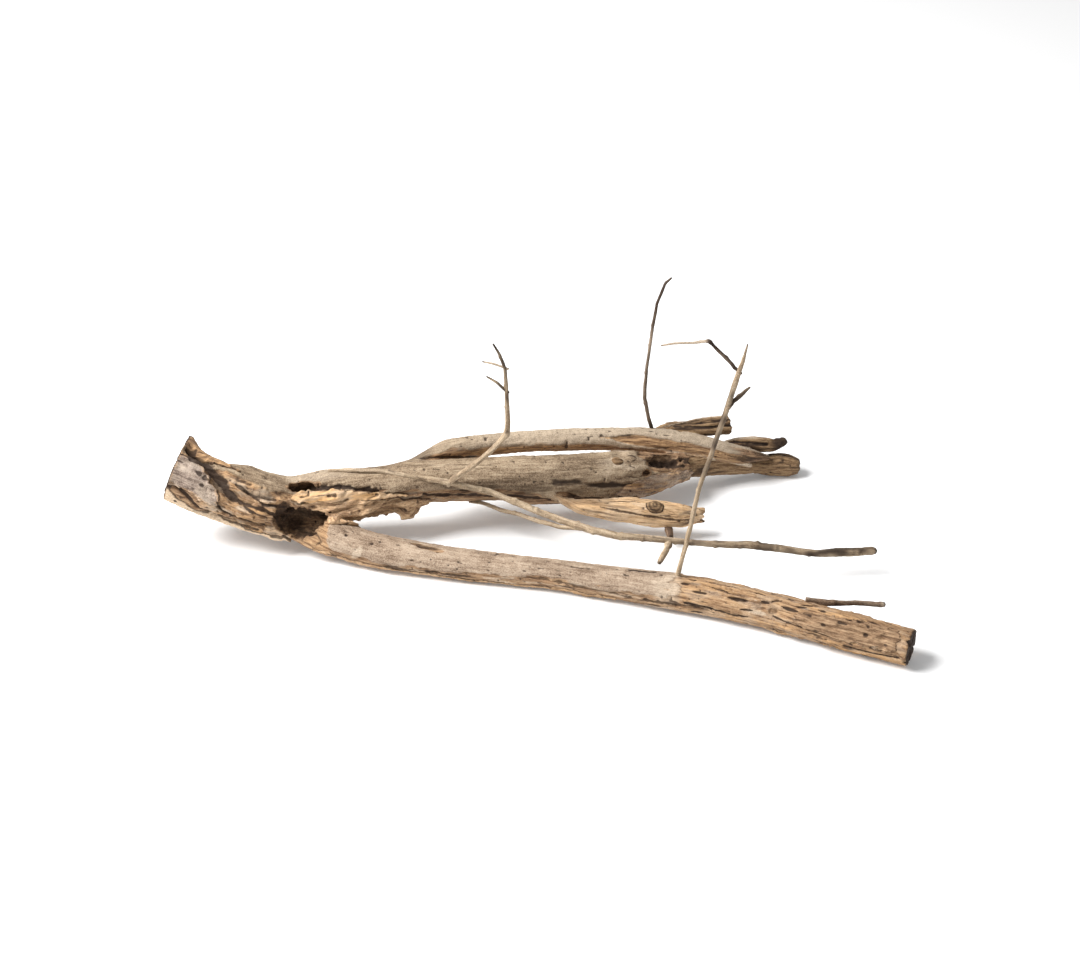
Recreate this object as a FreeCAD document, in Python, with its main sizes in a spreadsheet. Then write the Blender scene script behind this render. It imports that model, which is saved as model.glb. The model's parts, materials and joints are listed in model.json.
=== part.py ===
# A dry, weathered forked branch lying on its side: a short hollow butt, one long front limb,
# a thicker rear limb that carries an upper limb, a nose and a torn stub, thin dead twigs, and
# loose plates of bark. Millimetres, +Z up, +X from the sawn butt to the far limb ends, -Y to
# the front. Every station of every limb is given from the fork, where the limbs part, and the
# fork's own place puts the origin at the middle of the foot print, on the ground.
import FreeCAD, Part
import math
import os

import Sketcher
from FreeCAD import Placement, Rotation, Vector

doc = FreeCAD.newDocument("forked_branch")
sheet = doc.addObject("Spreadsheet::Sheet", "sizes")
sheet_rows = [0]
values = {}
sub_parts = {}
stations = {}
frames = {}

FRONT = Vector(0, -1, 0)
UP = Vector(0, 0, 1)


def cell(alias, value):
    """Put one plain number in the sheet under an alias, and return the alias as an expression."""
    sheet_rows[0] += 1
    address = f"A{sheet_rows[0]}"
    sheet.set(address, str(value))
    sheet.setAlias(address, alias)
    values[alias] = float(value)
    return f"sizes.{alias}"


# ---- driving sizes -------------------------------------------------------------------------
cell("fork_x", -201.6)
cell("fork_y", 16.3)
cell("fork_z", 0)
cell("plate_thickness", 3.2)
cell("strip_thickness", 1.6)
cell("flake_thickness", 2.4)
cell("bedding", 2)
cell("knot_radius", 6)
cell("knot_height", 5)
cell("hollow_radius", 15)
cell("cave_radius", 9)
cell("pocket_radius", 10)

# Each station: x, y, z of the middle of the wood from the fork, and its radius there.
LIMBS = {
    "butt": [
        (-112, 29, 70, 27.5),
        (-87, 25, 60, 27.5),
        (-55, 17, 49, 27),
        (-24, 13, 40, 27.5),
        (9, 10, 33, 22),
    ],
    "rear_limb": [
        (-14, 20, 39, 25),
        (24, 25, 44, 25.5),
        (59, 32, 48, 22.5),
        (104, 39, 50, 19.5),
        (149, 46, 49, 19.5),
        (194, 52, 47, 19.5),
        (239, 61, 43, 19.5),
        (285, 74, 38, 20.5),
        (318, 87, 33, 18.5),
        (351, 104, 28, 12),
    ],
    "front_limb": [
        (-6, 4, 29, 18),
        (48, -13, 16.5, 15),
        (106, -29, 14.3, 14.3),
        (165, -41, 13.2, 13.2),
        (225, -53, 13, 13),
        (285, -69, 14, 14),
        (343, -87, 16.8, 16.8),
        (402, -107, 16, 16),
        (461, -138, 17, 17),
        (520, -164, 16.2, 16.2),
    ],
    "upper_limb": [
        (55, 41, 52, 7),
        (92, 58, 60, 10.5),
        (130, 76, 62, 11),
        (178, 92, 60, 10),
        (228, 101, 57, 10.5),
        (271, 109, 54, 10.5),
        (314, 115, 49, 11.5),
        (351, 116, 42, 12),
        (387, 115, 33, 11.2),
        (429, 126, 22, 7.5),
    ],
    "nose": [
        (300, 84, 33, 11),
        (342, 107, 27, 13.5),
        (380, 122, 21, 12),
        (414, 130, 13, 9.4),
        (438, 135, 10.4, 10.4),
        (457, 132, 9.4, 9.4),
    ],
    "lower_stub": [
        (185, 46, 42, 5),
        (230, 34, 34, 8.5),
        (266, 31, 30, 11),
        (302, 28, 26, 12.5),
        (338, 26, 23, 11),
        (364, 31, 21, 6),
    ],
    "back_splinter": [
        (306, 121, 53, 5.5),
        (334, 127, 56, 7.5),
        (363, 131, 54, 9.4),
        (391, 138, 52, 8.5),
    ],
    "horn_splinter": [
        (358, 122, 41, 5),
        (391, 128, 38, 8),
        (419, 133, 33, 8),
        (435, 136, 31, 5.7),
        (444, 142, 35, 2.4),
    ],
    "nub": [
        (87, 28, 45, 8),
        (91, 19, 36, 6.4),
        (93, 14, 31, 4.5),
    ],
}

# Thin dead wood runs straight between its knuckles.
TWIGS = {
    "long_twig": [
        (27, 28, 68, 1.9),
        (68, 28, 69, 2.3),
        (106, 25, 64.5, 2.5),
        (130, 22, 61, 2.8),
        (167, 26, 49, 2.8),
        (193, 15, 43, 3),
        (229, -2, 38, 3.1),
        (258, -17, 36, 3.3),
        (282, -23, 34, 3.3),
        (343, -27, 30, 2.6),
        (403, -28, 27, 3.6),
        (453, -34, 23, 3.1),
        (475, -32, 22.5, 4),
        (507, -29, 22, 3.5),
    ],
    "fork_twig": [
        (140, 41, 36, 2.1),
        (177, 26, 30, 2.2),
        (213, 5, 31, 2.5),
        (231, -7, 33, 2.3),
        (251, -14, 36, 2.1),
    ],
    "riser_twig": [
        (130, 22, 61, 2.9),
        (154, 20, 81, 2.4),
        (170, 19, 97, 2.4),
        (183, 18, 113, 3.1),
        (184, 17, 125, 2.6),
        (183, 15, 158, 2),
        (182, 13, 182, 1.7),
        (177, 10, 198, 1.4),
        (172, 9, 208, 0.9),
    ],
    "riser_low_twiglet": [(183, 15, 159, 1.4), (175, 15, 167, 1.2), (166, 15, 173, 0.9)],
    "riser_high_twiglet": [(182, 13, 183, 1.1), (172, 13, 187, 1), (163, 13, 189, 0.8)],
    "upright_twig": [
        (317, 121, 55, 2.2),
        (314, 119, 64, 1.9),
        (308, 119, 92, 1.7),
        (309, 118, 125, 1.5),
        (312, 118, 152, 1.5),
        (316, 113, 192, 1.4),
        (323, 110, 214, 1.3),
        (328, 105, 222, 0.9),
    ],
    "straight_twig": [
        (329, -82, 28, 2.6),
        (340, -75, 80, 2.4),
        (346, -75, 118, 2.4),
        (354, -76, 148, 2.5),
        (363, -78, 186, 2.8),
        (367, -81, 206, 3),
        (372, -84, 230, 2.9),
        (375, -86, 243, 2.1),
        (378, -89, 261, 0.9),
    ],
    "crook_twig": [
        (373, -84, 231, 2),
        (368, -84, 239, 1.5),
        (348, -80, 260, 1.4),
        (335, -78, 257, 1.1),
        (320, -76, 255, 1),
        (310, -74, 252, 0.8),
    ],
    "spur_twig": [(366, -81, 200, 2.2), (376, -78, 208, 1.8), (383, -76, 215, 1.1)],
    "back_twig": [
        (428, -118, 25, 3),
        (441, -119, 29, 3),
        (456, -119, 30, 2.7),
        (476, -119, 30, 2.2),
        (495, -119, 28, 2.1),
        (503, -119, 28, 2.8),
    ],
    "stub_peg": [(327, 26, 18, 3.6), (328, 16, 14, 3.4), (329, 7, 12, 3)],
    "long_twig_spur": [(327, -25, 31, 3), (322, -36, 26, 2.8), (316, -47, 22, 2.2)],
}


# ---- how a limb is made --------------------------------------------------------------------
def turned(along, facing):
    """Aim a section across the limb: its own X faces the given way, its Y up or back."""
    across = facing - along * facing.dot(along)
    across.normalize()
    normal = along * -1
    return Rotation(across, normal.cross(across), normal, "ZXY")


def remember(name, points, facing):
    """Store a limb's stations in the sheet and work out how each section is turned."""
    centres = [Vector(*point[:3]) for point in points]
    last = len(points) - 1
    stations[name] = []
    frames[name] = []
    for number, (x, y, z, radius) in enumerate(points):
        stem = f"{name}_station_{number + 1}"
        cells = [cell(f"{stem}_{part}", value)
                 for part, value in zip(("x", "y", "z", "radius"), (x, y, z, radius))]
        stations[name].append(cells)
        along = centres[min(number + 1, last)] - centres[max(number - 1, 0)]
        along.normalize()
        frames[name].append(turned(along, facing))


def section(body, name, label, number):
    """Add an empty sketch across a limb at one of its stations."""
    sketch = body.newObject("Sketcher::SketchObject", f"{label}_section_{number + 1}")
    plane = next(f for f in body.Origin.OriginFeatures if f.Role == "XY_Plane")
    sketch.AttachmentSupport = [(plane, "")]
    sketch.MapMode = "FlatFace"
    sketch.AttachmentOffset = Placement(Vector(), frames[name][number])
    for axis, expression in zip("xyz", stations[name][number]):
        sketch.setExpression(f"AttachmentOffset.Base.{axis}", expression)
    return sketch


def new_body(label):
    """Add a body whose own origin is the fork."""
    body = doc.addObject("PartDesign::Body", f"{label}_body")
    for axis in "xyz":
        body.setExpression(f"Placement.Base.{axis}", f"sizes.fork_{axis}")
    return body


def place_from_fork(item, label, point):
    """Bind the place of a round hollow or a knot to cells that give it from the fork."""
    for axis, value in zip("xyz", point):
        place = cell(f"{label}_{axis}", value)
        item.setExpression(f"Placement.Base.{axis}", f"{place} + sizes.fork_{axis}")


def loft(body, label, sections):
    """Skin the sections with straight runs, so that no span swells between its stations."""
    skin = body.newObject("PartDesign::AdditiveLoft", f"{label}_loft")
    skin.Profile = sections[0]
    skin.Sections = sections[1:]
    skin.Ruled = True
    return skin


def limb(label, points, facing=FRONT):
    """A limb or twig: round sections at its stations, skinned into one solid."""
    remember(label, points, facing)
    body = new_body(label)
    sections = []
    for number, point in enumerate(points):
        sketch = section(body, label, label, number)
        sketch.addGeometry(Part.Circle(Vector(), UP, point[3]), False)
        sketch.addConstraint(Sketcher.Constraint("Coincident", 0, 3, -1, 1))
        round_size = sketch.addConstraint(Sketcher.Constraint("Radius", 0, point[3]))
        sketch.setExpression(f"Constraints[{round_size}]", stations[label][number][3])
        sections.append(sketch)
    loft(body, label, sections)
    return body


def plate(label, host, numbers, low, high, thickness):
    """A plate of bark round part of a limb, from its low angle to its high one.

    Angles turn from the front, 0 degrees, to the top, 90 degrees. Each section is a ring
    segment: the inner arc beds a little into the host, which is cut away from it afterwards,
    and the outer arc stands off the host by the thickness.
    """
    body = new_body(label)
    sections = []
    for number, start, end in zip(numbers, low, high):
        radius = values[f"{host}_station_{number + 1}_radius"]
        outer = radius + values[thickness]
        first, second = math.radians(start), math.radians(end)
        sketch = section(body, host, label, number)
        inner = radius - values["bedding"]
        arcs = [Part.ArcOfCircle(Part.Circle(Vector(), UP, size), first, second)
                for size in (inner, outer)]
        inner_low, outer_low = arcs[0].StartPoint, arcs[1].StartPoint
        inner_high, outer_high = arcs[0].EndPoint, arcs[1].EndPoint
        sketch.addGeometry(arcs[0], False)
        sketch.addGeometry(Part.LineSegment(inner_high, outer_high), False)
        sketch.addGeometry(arcs[1], False)
        sketch.addGeometry(Part.LineSegment(outer_low, inner_low), False)
        for constraint in (
            ("Coincident", 0, 2, 1, 1), ("Coincident", 1, 2, 2, 2),
            ("Coincident", 2, 1, 3, 1), ("Coincident", 3, 2, 0, 1),
            ("Coincident", 0, 3, -1, 1), ("Coincident", 2, 3, -1, 1),
        ):
            sketch.addConstraint(Sketcher.Constraint(*constraint))
        inner_size = sketch.addConstraint(Sketcher.Constraint("Radius", 0, inner))
        outer_size = sketch.addConstraint(Sketcher.Constraint("Radius", 2, outer))
        host_radius = stations[host][number][3]
        sketch.setExpression(f"Constraints[{inner_size}]", f"{host_radius} - sizes.bedding")
        sketch.setExpression(f"Constraints[{outer_size}]", f"{host_radius} + sizes.{thickness}")
        sections.append(sketch)
    loft(body, label, sections)
    return body


def without(label, shape, tools):
    """Cut the neighbours away, so that the piece meets them face to face."""
    for number, tool in enumerate(tools):
        cut = doc.addObject("Part::Cut", f"{label}_less_{number + 1}")
        cut.Base = shape
        cut.Tool = tool
        shape = cut
    shape.Label = label
    sub_parts[label] = shape
    return shape


def ball(label, point, radius):
    """A round hollow, to be cut from the wood."""
    hollow = doc.addObject("Part::Sphere", label)
    hollow.setExpression("Radius", f"sizes.{radius}")
    place_from_fork(hollow, label, point)
    return hollow


# ---- the wood ------------------------------------------------------------------------------
crotch_hollow = ball("crotch_hollow", (-10, -8, 42), "hollow_radius")
small_cave = ball("small_cave", (4, 8, 68), "cave_radius")
rear_pocket = ball("rear_pocket", (322, 79, 54), "pocket_radius")

solid = {name: limb(name, points) for name, points in LIMBS.items()}
butt = without("butt", solid["butt"], [crotch_hollow, small_cave])
rear_limb = without("rear_limb", solid["rear_limb"],
                    [solid["butt"], crotch_hollow, small_cave, rear_pocket])
front_limb = without("front_limb", solid["front_limb"],
                     [solid["butt"], solid["rear_limb"], crotch_hollow])
upper_limb = without("upper_limb", solid["upper_limb"], [solid["rear_limb"], solid["nose"]])
nose = without("nose", solid["nose"], [solid["rear_limb"]])
lower_stub = without("lower_stub", solid["lower_stub"], [solid["rear_limb"]])
back_splinter = without("back_splinter", solid["back_splinter"], [solid["upper_limb"]])
horn_splinter = without("horn_splinter", solid["horn_splinter"],
                        [solid["upper_limb"], solid["nose"]])
nub = without("nub", solid["nub"], [solid["rear_limb"]])

# ---- the twigs -----------------------------------------------------------------------------
ACROSS_THE_BRANCH = ("stub_peg", "long_twig_spur")
for name, points in TWIGS.items():
    solid[name] = limb(name, points, UP if name in ACROSS_THE_BRANCH else FRONT)

GROWS_FROM = {
    "long_twig": ["rear_limb"],
    "fork_twig": ["rear_limb", "long_twig"],
    "riser_twig": ["rear_limb", "long_twig"],
    "riser_low_twiglet": ["riser_twig"],
    "riser_high_twiglet": ["riser_twig"],
    "upright_twig": ["upper_limb", "back_splinter"],
    "straight_twig": ["front_limb"],
    "crook_twig": ["straight_twig"],
    "spur_twig": ["straight_twig"],
    "back_twig": ["front_limb"],
    "stub_peg": ["lower_stub"],
    "long_twig_spur": ["long_twig"],
}
for name, hosts in GROWS_FROM.items():
    without(name, solid[name], [solid[host] for host in hosts])

# ---- bark plates and torn layers -----------------------------------------------------------
BARK = {
    "butt_plate": ("butt", (0, 1, 2), (0, -10, -18), (58, 42, 18), "plate_thickness", []),
    "butt_flap": ("butt", (0, 1), (64, 66), (104, 98), "plate_thickness", []),
    "butt_lower_strip": ("butt", (0, 1, 2, 3), (-62, -66, -72, -72), (-8, -16, -26, -30),
                         "strip_thickness", []),
    "torn_layers": ("rear_limb", (1, 2, 3), (-52, -50, -46), (2, -4, -16),
                    "plate_thickness", ["front_limb", "butt", "nub"]),
    "golden_shelf": ("rear_limb", (1, 2, 3), (6, 2, -10), (30, 24, 2),
                     "flake_thickness", ["butt"]),
    "rear_tongue": ("rear_limb", (7, 8, 9), (-30, -22, -14), (14, 16, 10),
                    "flake_thickness", ["nose", "lower_stub"]),
    "front_edge_strip": ("front_limb", (1, 2, 3, 4, 5), (-60, -62, -62, -60, -56),
                         (-28, -30, -32, -30, -26), "strip_thickness", []),
    "front_end_bark": ("front_limb", (7, 8, 9), (22, -4, 4), (46, 66, 60), "flake_thickness", []),
}
for name, (host, numbers, low, high, thickness, others) in BARK.items():
    bark = plate(name, host, numbers, low, high, thickness)
    without(name, bark, [solid[tool] for tool in [host] + others])


def knot(label, point, aim, hosts):
    """A round knot: a short plug that stands just proud of its limb."""
    plug = doc.addObject("Part::Cylinder", f"{label}_plug")
    plug.setExpression("Radius", "sizes.knot_radius")
    plug.setExpression("Height", "sizes.knot_height")
    plug.Placement = Placement(Vector(), Rotation(UP, Vector(*aim)))
    place_from_fork(plug, label, point)
    return without(label, plug, [solid[host] for host in hosts])


knot("stub_knot", (314, 18.5, 31.5), (0, -0.8, 0.6), ["lower_stub"])
knot("rear_knot", (271, 57, 53.5), (0, -0.7, 0.72), ["rear_limb"])

# ---- check and write -----------------------------------------------------------------------
doc.recompute()
for item in doc.Objects:
    if "Invalid" in item.State or "Error" in item.State:
        raise RuntimeError(f"{item.Name} did not rebuild: {item.State}")
for name, piece in sub_parts.items():
    if piece.Shape.isNull() or not piece.Shape.isValid():
        raise RuntimeError(f"{name} has no valid shape")
    if len(piece.Shape.Solids) != 1:
        print(name, "has", len(piece.Shape.Solids), "solids",
              [round(s.Volume) for s in piece.Shape.Solids])

os.makedirs("parts", exist_ok=True)
for name, piece in sub_parts.items():
    piece.Shape.exportStep(f"parts/{name}.step")
    box = piece.Shape.optimalBoundingBox()
    print(f"{name:20s} {piece.Shape.Volume / 1000:8.2f} cm3  x {box.XMin:7.1f} {box.XMax:7.1f}"
          f"  y {box.YMin:7.1f} {box.YMax:7.1f}  z {box.ZMin:6.1f} {box.ZMax:6.1f}")
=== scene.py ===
import json
import math

import bpy
import numpy as np
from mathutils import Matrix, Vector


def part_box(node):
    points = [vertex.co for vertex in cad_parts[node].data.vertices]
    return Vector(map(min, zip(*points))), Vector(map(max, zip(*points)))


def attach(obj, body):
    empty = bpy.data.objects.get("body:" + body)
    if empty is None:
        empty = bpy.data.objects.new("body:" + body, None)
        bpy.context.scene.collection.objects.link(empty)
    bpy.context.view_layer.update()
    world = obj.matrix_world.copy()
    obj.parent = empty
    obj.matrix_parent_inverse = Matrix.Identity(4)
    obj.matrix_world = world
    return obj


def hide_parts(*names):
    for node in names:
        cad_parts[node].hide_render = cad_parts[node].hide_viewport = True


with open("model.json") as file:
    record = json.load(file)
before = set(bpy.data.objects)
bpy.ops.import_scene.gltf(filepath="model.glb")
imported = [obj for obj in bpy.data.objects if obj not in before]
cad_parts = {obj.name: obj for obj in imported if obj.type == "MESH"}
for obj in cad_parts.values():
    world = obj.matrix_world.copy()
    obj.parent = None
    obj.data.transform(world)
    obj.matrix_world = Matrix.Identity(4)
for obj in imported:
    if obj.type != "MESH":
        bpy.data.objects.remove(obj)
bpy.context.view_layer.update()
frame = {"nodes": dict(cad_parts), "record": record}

import openvdb
from mathutils import Vector

bl_info = {
    "name": "Forked Dry Branch",
    "version": (1, 0, 0),
    "blender": (4, 5, 0),
    "location": "3D View > Sidebar > Branch",
    "description": "Carves a dry forked branch with bark plates and dead twigs round its frame",
    "category": "Add Mesh",
}

MM = 0.001
FRONT = np.array([0.0, -1.0, 0.0])
UP = np.array([0.0, 0.0, 1.0])


# ---- small maths ---------------------------------------------------------------------------
def smooth_step(low, high, x):
    """Rise smoothly from 0 at low to 1 at high."""
    ramp = np.clip((x - low) / (high - low), 0.0, 1.0)
    return ramp * ramp * (3.0 - 2.0 * ramp)


def unit(vectors):
    """Scale vectors to length one."""
    return vectors / np.maximum(np.linalg.norm(vectors, axis=-1, keepdims=True), 1e-9)


LATTICE = 64
_lattices = {}


def noise(points, cell, seed):
    """Smooth noise from -1 to 1 at points (n, 3); a cell is its grain size, one or three sizes."""
    if seed not in _lattices:
        values = np.random.default_rng(seed).uniform(-1.0, 1.0, LATTICE ** 3)
        _lattices[seed] = values.astype(np.float32)
    table = _lattices[seed]
    scaled = points / np.asarray(cell, dtype=np.float32)
    base = np.floor(scaled).astype(np.int32)
    part = (scaled - base).astype(np.float32)
    part = part * part * (3.0 - 2.0 * part)
    low = base & (LATTICE - 1)
    high = (base + 1) & (LATTICE - 1)
    total = 0.0
    for i in (0, 1):
        x = (high if i else low)[:, 0].astype(np.int64) * LATTICE * LATTICE
        wx = part[:, 0] if i else 1.0 - part[:, 0]
        for j in (0, 1):
            y = x + (high if j else low)[:, 1].astype(np.int64) * LATTICE
            wy = wx * (part[:, 1] if j else 1.0 - part[:, 1])
            for k in (0, 1):
                z = y + (high if k else low)[:, 2]
                total = total + table[z] * wy * (part[:, 2] if k else 1.0 - part[:, 2])
    return total


def rough_noise(points, cell, seed, octaves=3):
    """Noise with finer and finer detail added, from about -1 to 1."""
    size = np.asarray(cell, dtype=np.float32)
    total, weight, whole = 0.0, 1.0, 0.0
    for octave in range(octaves):
        total = total + weight * noise(points, size, seed + octave)
        whole += weight
        weight *= 0.55
        size = size * 0.5
    return total / whole * 1.4


# ---- guides: the middle line of each limb, measured from the frame --------------------------
class Guide:
    """The middle line of a limb in millimetres, with its radius and the way it faces."""

    def __init__(self, name, points, radius):
        self.name = name
        self.points = points
        self.radius = radius
        steps = np.linalg.norm(np.diff(points, axis=0), axis=1)
        self.along = np.concatenate([[0.0], np.cumsum(steps)])
        self.length = self.along[-1]
        self.tangent = unit(np.gradient(points, self.along, axis=0))
        reference = FRONT if abs(self.tangent[:, 1]).max() < 0.8 else UP
        across = reference - self.tangent * (self.tangent @ reference)[:, None]
        self.front = unit(across)
        self.up = np.cross(self.front, self.tangent)

    def at(self, values, s):
        """Read a value kept at every point of the guide at distances s along it."""
        if values.ndim == 1:
            return np.interp(s, self.along, values)
        return np.stack([np.interp(s, self.along, column) for column in values.T], axis=-1)

    def angle(self, places, s):
        """Angle of places round the limb: 0 at the front, pi / 2 at the top."""
        offset = places - self.at(self.points, s)
        front = (offset * self.at(self.front, s)).sum(-1)
        up = (offset * self.at(self.up, s)).sum(-1)
        return np.arctan2(up, front)


def slices(node, axis, low, high, count):
    """Cut a closed node across an axis, and give each section's middle and area."""
    mesh = frame["nodes"][node].data
    corners = np.empty(len(mesh.vertices) * 3)
    mesh.vertices.foreach_get("co", corners)
    corners = corners.reshape(-1, 3) / MM
    mesh.calc_loop_triangles()
    faces = np.empty(len(mesh.loop_triangles) * 3, dtype=np.int32)
    mesh.loop_triangles.foreach_get("vertices", faces)
    triangles = corners[faces.reshape(-1, 3)]
    others = [i for i in range(3) if i != axis]
    middles, areas = [], []
    for level in np.linspace(low, high, count):
        height = triangles[:, :, axis] - level
        hit = triangles[(height.min(1) < 0) & (height.max(1) >= 0)]
        height = hit[:, :, axis] - level
        ends = {}
        for start, stop in ((0, 1), (1, 2), (2, 0)):
            first, second = height[:, start], height[:, stop]
            for kind, rows in (("in", (first < 0) & (second >= 0)),
                               ("out", (first >= 0) & (second < 0))):
                share = first[rows] / (first[rows] - second[rows])
                place = hit[rows, start] + share[:, None] * (hit[rows, stop] - hit[rows, start])
                ends.setdefault(kind, np.zeros((len(hit), 3)))[rows] = place
        first, second = ends["in"][:, others], ends["out"][:, others]
        origin = first.mean(0)
        first, second = first - origin, second - origin
        cross = first[:, 0] * second[:, 1] - second[:, 0] * first[:, 1]
        area = cross.sum() / 2
        middle = ((first + second) * cross[:, None]).sum(0) / (6 * area) + origin
        place = np.empty(3)
        place[axis] = level
        place[others] = middle
        middles.append(place)
        areas.append(abs(area))
    return np.array(middles), np.array(areas)


def soften(values, spread):
    """Round off the corners of a line of values, keeping both its ends."""
    if spread <= 0:
        return values
    reach = int(3 * spread) + 1
    kernel = np.exp(-0.5 * (np.arange(-reach, reach + 1) / spread) ** 2)
    kernel /= kernel.sum()
    first, last = values[:1], values[-1:]
    before = 2 * first - values[1:reach + 1][::-1]
    after = 2 * last - values[-reach - 1:-1][::-1]
    padded = np.concatenate([before, values, after])
    if values.ndim == 1:
        return np.convolve(padded, kernel, mode="valid")
    return np.stack([np.convolve(column, kernel, mode="valid") for column in padded.T], axis=-1)


def carried_on(middles, radius, limit, axis):
    """Carry a guide straight on to its square-cut end, whose rim reaches the node's limit."""
    tail = unit(middles[-1] - middles[-4])
    rim = radius[-1] * math.sqrt(max(1.0 - tail[axis] ** 2, 0.0))
    gap = (abs(limit - middles[-1][axis]) - rim) / abs(tail[axis])
    steps = max(1, round(gap / SPACING))
    share = np.arange(1, steps + 1)[:, None] / steps
    more = middles[-1] + tail * gap * share
    return np.concatenate([middles, more]), np.append(radius, [radius[-1]] * steps)


# node: axis cut across, start and end left out (mm), smoothing (mm), host, reach back (mm)
GUIDE_PLAN = {
    "butt": (0, 26, 24, 8, None, 0),
    "rear_limb": (0, 45, 14, 12, "butt", 52),
    "front_limb": (0, 52, 16, 14, "butt", 44),
    "upper_limb": (0, 62, 7, 12, "rear_limb", 72),
    "nose": (0, 52, 8, 8, "rear_limb", 34),
    "lower_stub": (0, 52, 6, 8, "rear_limb", 42),
    "back_splinter": (0, 32, 6, 6, "upper_limb", 24),
    "horn_splinter": (0, 40, 2, 3, "upper_limb", 26),
}
# distance between a guide's places (mm)
SPACING = 4.0
# where the nub's foot is, from the middle front bottom of its box (mm)
NUB_FOOT = (3.0, 8.0, -0.5)
# share of the nub's length from its root, and its radius there (mm)
NUB_RADII = ([0.0, 0.5, 0.85, 1.0], [12.0, 9.5, 7.0, 4.0])
_guides = {}


def guide(node):
    """Measure a node's guide once, and keep it."""
    if node in _guides:
        return _guides[node]
    axis, skip_start, skip_end, spread, host, reach = GUIDE_PLAN[node]
    low, high = (np.array(corner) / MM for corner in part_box(node))
    start, stop = low[axis] + skip_start, high[axis] - skip_end
    count = max(4, int((stop - start) / SPACING))
    middles, areas = slices(node, axis, start, stop, count)
    lean = unit(np.gradient(middles, axis=0))[:, axis]
    radius = np.sqrt(areas * abs(lean) / math.pi)
    if host:
        parent = guide(host)
        nearest = np.linalg.norm(parent.points - middles[0], axis=1).argmin()
        back = max(parent.along[nearest] - reach, 0.0)
        root = parent.at(parent.points, back)
        reach_out = np.linalg.norm(middles[0] - root)
        steps = max(2, int(reach_out / SPACING))
        t = np.linspace(0.0, 1.0, steps, endpoint=False)[:, None]
        pull = middles[0] - unit(middles[1] - middles[0]) * reach_out * 0.5
        curve = (1 - t) ** 2 * root + 2 * t * (1 - t) * pull + t ** 2 * middles[0]
        thin = np.interp(t[:, 0], [0, 1], [radius[0] * 0.7, radius[0]])
        middles = np.concatenate([curve, middles])
        radius = np.concatenate([thin, radius])
    middles = soften(middles, spread / SPACING)
    radius = soften(radius, spread / SPACING)
    middles, radius = carried_on(middles, radius, high[axis], axis)
    if not host:
        middles, radius = carried_on(middles[::-1], radius[::-1], low[axis], axis)
        middles, radius = middles[::-1], radius[::-1]
    _guides[node] = Guide(node, middles, radius)
    return _guides[node]


def nub_guide():
    """The nub hangs straight from the rear limb's guide to the bottom of its own box."""
    low, high = (np.array(corner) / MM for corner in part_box("nub"))
    foot = np.array([(low[0] + high[0]) / 2, low[1], low[2]]) + NUB_FOOT
    parent = guide("rear_limb")
    nearest = np.linalg.norm(parent.points - foot, axis=1).argmin()
    top = parent.points[nearest]
    share = np.linspace(0.0, 1.0, 10)[:, None]
    radius = np.interp(share[:, 0], *NUB_RADII)
    return Guide("nub", top + (foot - top) * share, radius)


# ---- the skin of a limb --------------------------------------------------------------------
def wrap(angle):
    """Bring an angle into the half turn each way from 0."""
    return (angle + math.pi) % (2 * math.pi) - math.pi


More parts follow.
